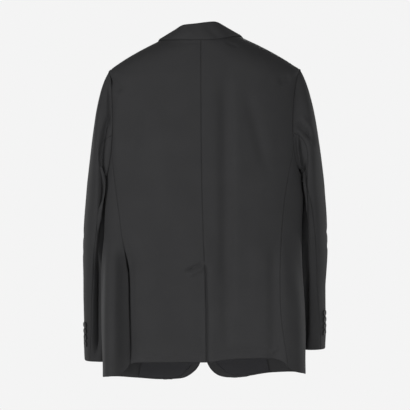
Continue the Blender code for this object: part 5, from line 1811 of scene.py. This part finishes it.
def studio_world(backdrop, ambient):
    """A plain pale surround, which lights the jacket more softly than it looks."""
    world = bpy.data.worlds.new("studio")
    world.use_nodes = True
    tree = world.node_tree
    seen, lit = tree.nodes["Background"], tree.nodes.new("ShaderNodeBackground")
    for sky, strength in ((seen, backdrop), (lit, ambient)):
        sky.inputs["Color"].default_value = (1.0, 1.0, 1.0, 1.0)
        sky.inputs["Strength"].default_value = strength
    path, mixed = tree.nodes.new("ShaderNodeLightPath"), tree.nodes.new("ShaderNodeMixShader")
    tree.links.new(path.outputs["Is Camera Ray"], mixed.inputs["Fac"])
    tree.links.new(lit.outputs["Background"], mixed.inputs[1])
    tree.links.new(seen.outputs["Background"], mixed.inputs[2])
    tree.links.new(mixed.outputs["Shader"], tree.nodes["World Output"].inputs["Surface"])
    return world


def studio_light(light):
    """A soft, flat light that faces the jacket and isn't seen itself."""
    lamp = bpy.data.lights.new(light.name, "AREA")
    lamp.energy = light.power
    lamp.shape = "RECTANGLE"
    lamp.size, lamp.size_y = light.size
    thing = bpy.data.objects.new(light.name, lamp)
    bpy.context.scene.collection.objects.link(thing)
    thing.location = light.place
    way = Vector(LIGHT_AIM) - Vector(light.place)
    thing.rotation_euler = way.to_track_quat("-Z", "Y").to_euler()
    thing.visible_camera = False


class JacketCloth(bpy.types.PropertyGroup):
    """Sizes and colours of the jacket's cloth"""
    colour: bpy.props.FloatVectorProperty(
        name="Colour", description="The worsted's colour", subtype="COLOR", size=3,
        min=0.0, max=1.0, default=(0.031, 0.031, 0.032))
    roughness: bpy.props.FloatProperty(
        name="Roughness", description="How matt the cloth is", default=0.80, min=0.0, max=1.0)
    sheen: bpy.props.FloatProperty(
        name="Sheen", description="How much the cloth's fibres catch light from the side",
        default=0.02, min=0.0, max=1.0)
    twill_pitch: bpy.props.FloatProperty(
        name="Twill pitch", description="From one twill line to the next", unit="LENGTH",
        default=0.0011)
    thread_pitch: bpy.props.FloatProperty(
        name="Thread pitch", description="From one thread to the next", unit="LENGTH",
        default=0.0005)
    seam_width: bpy.props.FloatProperty(
        name="Seam width", description="How far in from a seam the cloth rolls", unit="LENGTH",
        default=0.0014)
    seam_depth: bpy.props.FloatProperty(
        name="Seam depth", description="How far a seam's edge rolls in", unit="LENGTH",
        default=0.0010)
    swell_size: bpy.props.FloatProperty(
        name="Swell size", description="From one small swell of the cloth to the next",
        unit="LENGTH", default=0.055)
    swell_depth: bpy.props.FloatProperty(
        name="Swell depth", description="How far the small swells stand out", unit="LENGTH",
        default=0.0007)
    crease_share: bpy.props.FloatProperty(
        name="Creases", description="How deep the creases are, as a share", default=1.0,
        min=0.0, max=2.0)


class JacketButtons(bpy.types.PropertyGroup):
    """Colour of the jacket's buttons"""
    colour: bpy.props.FloatVectorProperty(
        name="Colour", description="The horn's colour", subtype="COLOR", size=3, min=0.0,
        max=1.0, default=(0.018, 0.017, 0.016))


class JacketStage(bpy.types.PropertyGroup):
    """The floor, the light and the camera"""
    floor_height: bpy.props.FloatProperty(
        name="Floor height", description="Where the floor lies, below the jacket's hem",
        unit="LENGTH", default=-0.92)
    pale: bpy.props.FloatVectorProperty(
        name="Pale", description="The floor's colour", subtype="COLOR", size=3, min=0.0,
        max=1.0, default=(0.85, 0.85, 0.85))
    backdrop: bpy.props.FloatProperty(
        name="Backdrop", description="How bright the surround looks", default=0.905, min=0.0)
    ambient: bpy.props.FloatProperty(
        name="Ambient light", description="How strongly the surround lights the jacket",
        default=0.08, min=0.0)
    distance: bpy.props.FloatProperty(
        name="Camera distance", description="From the camera to the jacket", unit="LENGTH",
        default=25.0)


class JacketOperator:
    """What all of the jacket's operators share"""
    bl_options = {"REGISTER", "UNDO"}


class JACKET_OT_back(JacketOperator, bpy.types.Operator):
    """Make the two halves of the back"""
    bl_idname = "jacket.back"
    bl_label = "Back"

    def execute(self, context):
        for side in SIDES:
            back_half(side)
        return {"FINISHED"}


class JACKET_OT_side_panels(JacketOperator, bpy.types.Operator):
    """Make the side panels between the back and the fronts"""
    bl_idname = "jacket.side_panels"
    bl_label = "Side panels"

    def execute(self, context):
        for side in SIDES:
            side_panel(side)
        return {"FINISHED"}


class JACKET_OT_fronts(JacketOperator, bpy.types.Operator):
    """Make the fronts, with their lapels and facings"""
    bl_idname = "jacket.fronts"
    bl_label = "Fronts, lapels and facings"

    def execute(self, context):
        for side in SIDES:
            front_panel(side)
            lapel(side)
            facing(side)
        return {"FINISHED"}


class JACKET_OT_collar(JacketOperator, bpy.types.Operator):
    """Make the collar, its stand and its fall"""
    bl_idname = "jacket.collar"
    bl_label = "Collar"

    def execute(self, context):
        collar()
        return {"FINISHED"}


class JACKET_OT_sleeves(JacketOperator, bpy.types.Operator):
    """Make the top and under sleeves"""
    bl_idname = "jacket.sleeves"
    bl_label = "Sleeves"

    def execute(self, context):
        for side in SIDES:
            for top in (True, False):
                sleeve_half(side, top)
        return {"FINISHED"}


class JACKET_OT_pockets(JacketOperator, bpy.types.Operator):
    """Make the pocket flaps and the breast pocket's welt"""
    bl_idname = "jacket.pockets"
    bl_label = "Pockets"

    def execute(self, context):
        for side in SIDES:
            pocket_flap(side)
        breast_welt()
        return {"FINISHED"}


class JACKET_OT_buttons(JacketOperator, bpy.types.Operator):
    """Make the front and cuff buttons"""
    bl_idname = "jacket.buttons"
    bl_label = "Buttons"

    def execute(self, context):
        front_buttons()
        for side in SIDES:
            cuff_buttons(side)
        return {"FINISHED"}


class JACKET_OT_stage(JacketOperator, bpy.types.Operator):
    """Make the floor, the studio light and the camera"""
    bl_idname = "jacket.stage"
    bl_label = "Stage"

    def execute(self, context):
        scene, stage = context.scene, context.scene.jacket_stage
        bm = bmesh.new()
        bmesh.ops.create_circle(bm, cap_ends=True, segments=FLOOR_SIDES, radius=FLOOR_RADIUS)
        bmesh.ops.translate(bm, vec=(0, 0, stage.floor_height), verts=bm.verts)
        floor = new_object("floor", bm)
        floor.data.materials.append(pale_finish("pale_floor", (*stage.pale, 1.0)))
        for light in LIGHTS:
            studio_light(light)
        scene.world = studio_world(stage.backdrop, stage.ambient)
        scene.view_settings.view_transform = "Standard"
        lens = bpy.data.cameras.new("camera")
        lens.lens = lens.sensor_width * stage.distance / VIEW_WIDTH
        lens.clip_end = 4 * stage.distance
        camera = bpy.data.objects.new("camera", lens)
        scene.collection.objects.link(camera)
        camera.location = (VIEW_MIDDLE[0], -stage.distance, VIEW_MIDDLE[1])
        camera.rotation_euler = (math.pi / 2, 0, 0)
        scene.camera = camera
        return {"FINISHED"}


class JACKET_PT_sidebar(bpy.types.Panel):
    """The jacket's pieces and their sizes"""
    bl_label = "Suit jacket"
    bl_idname = "JACKET_PT_sidebar"
    bl_space_type = "VIEW_3D"
    bl_region_type = "UI"
    bl_category = "Jacket"

    def draw(self, context):
        for group in (getattr(context.scene, name) for name in GROUPS):
            box = self.layout.box()
            box.label(text=type(group).__doc__)
            for name in type(group).__annotations__:
                box.prop(group, name)
        for operator in OPERATORS:
            self.layout.operator(operator.bl_idname)


OPERATORS = (JACKET_OT_back, JACKET_OT_side_panels, JACKET_OT_fronts, JACKET_OT_collar,
             JACKET_OT_sleeves, JACKET_OT_pockets, JACKET_OT_buttons, JACKET_OT_stage)
GROUPS = {"jacket_cloth": JacketCloth, "jacket_buttons": JacketButtons,
          "jacket_stage": JacketStage}
KINDS = (*GROUPS.values(), *OPERATORS, JACKET_PT_sidebar)


def register():
    for kind in KINDS:
        bpy.utils.register_class(kind)
    for name, group in GROUPS.items():
        setattr(bpy.types.Scene, name, bpy.props.PointerProperty(type=group))


def unregister():
    for name in GROUPS:
        delattr(bpy.types.Scene, name)
    for kind in reversed(KINDS):
        bpy.utils.unregister_class(kind)


def main():
    register()
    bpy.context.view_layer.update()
    for operator in OPERATORS:
        area, name = operator.bl_idname.split(".")
        getattr(getattr(bpy.ops, area), name)()


if __name__ == "__main__":
    main()
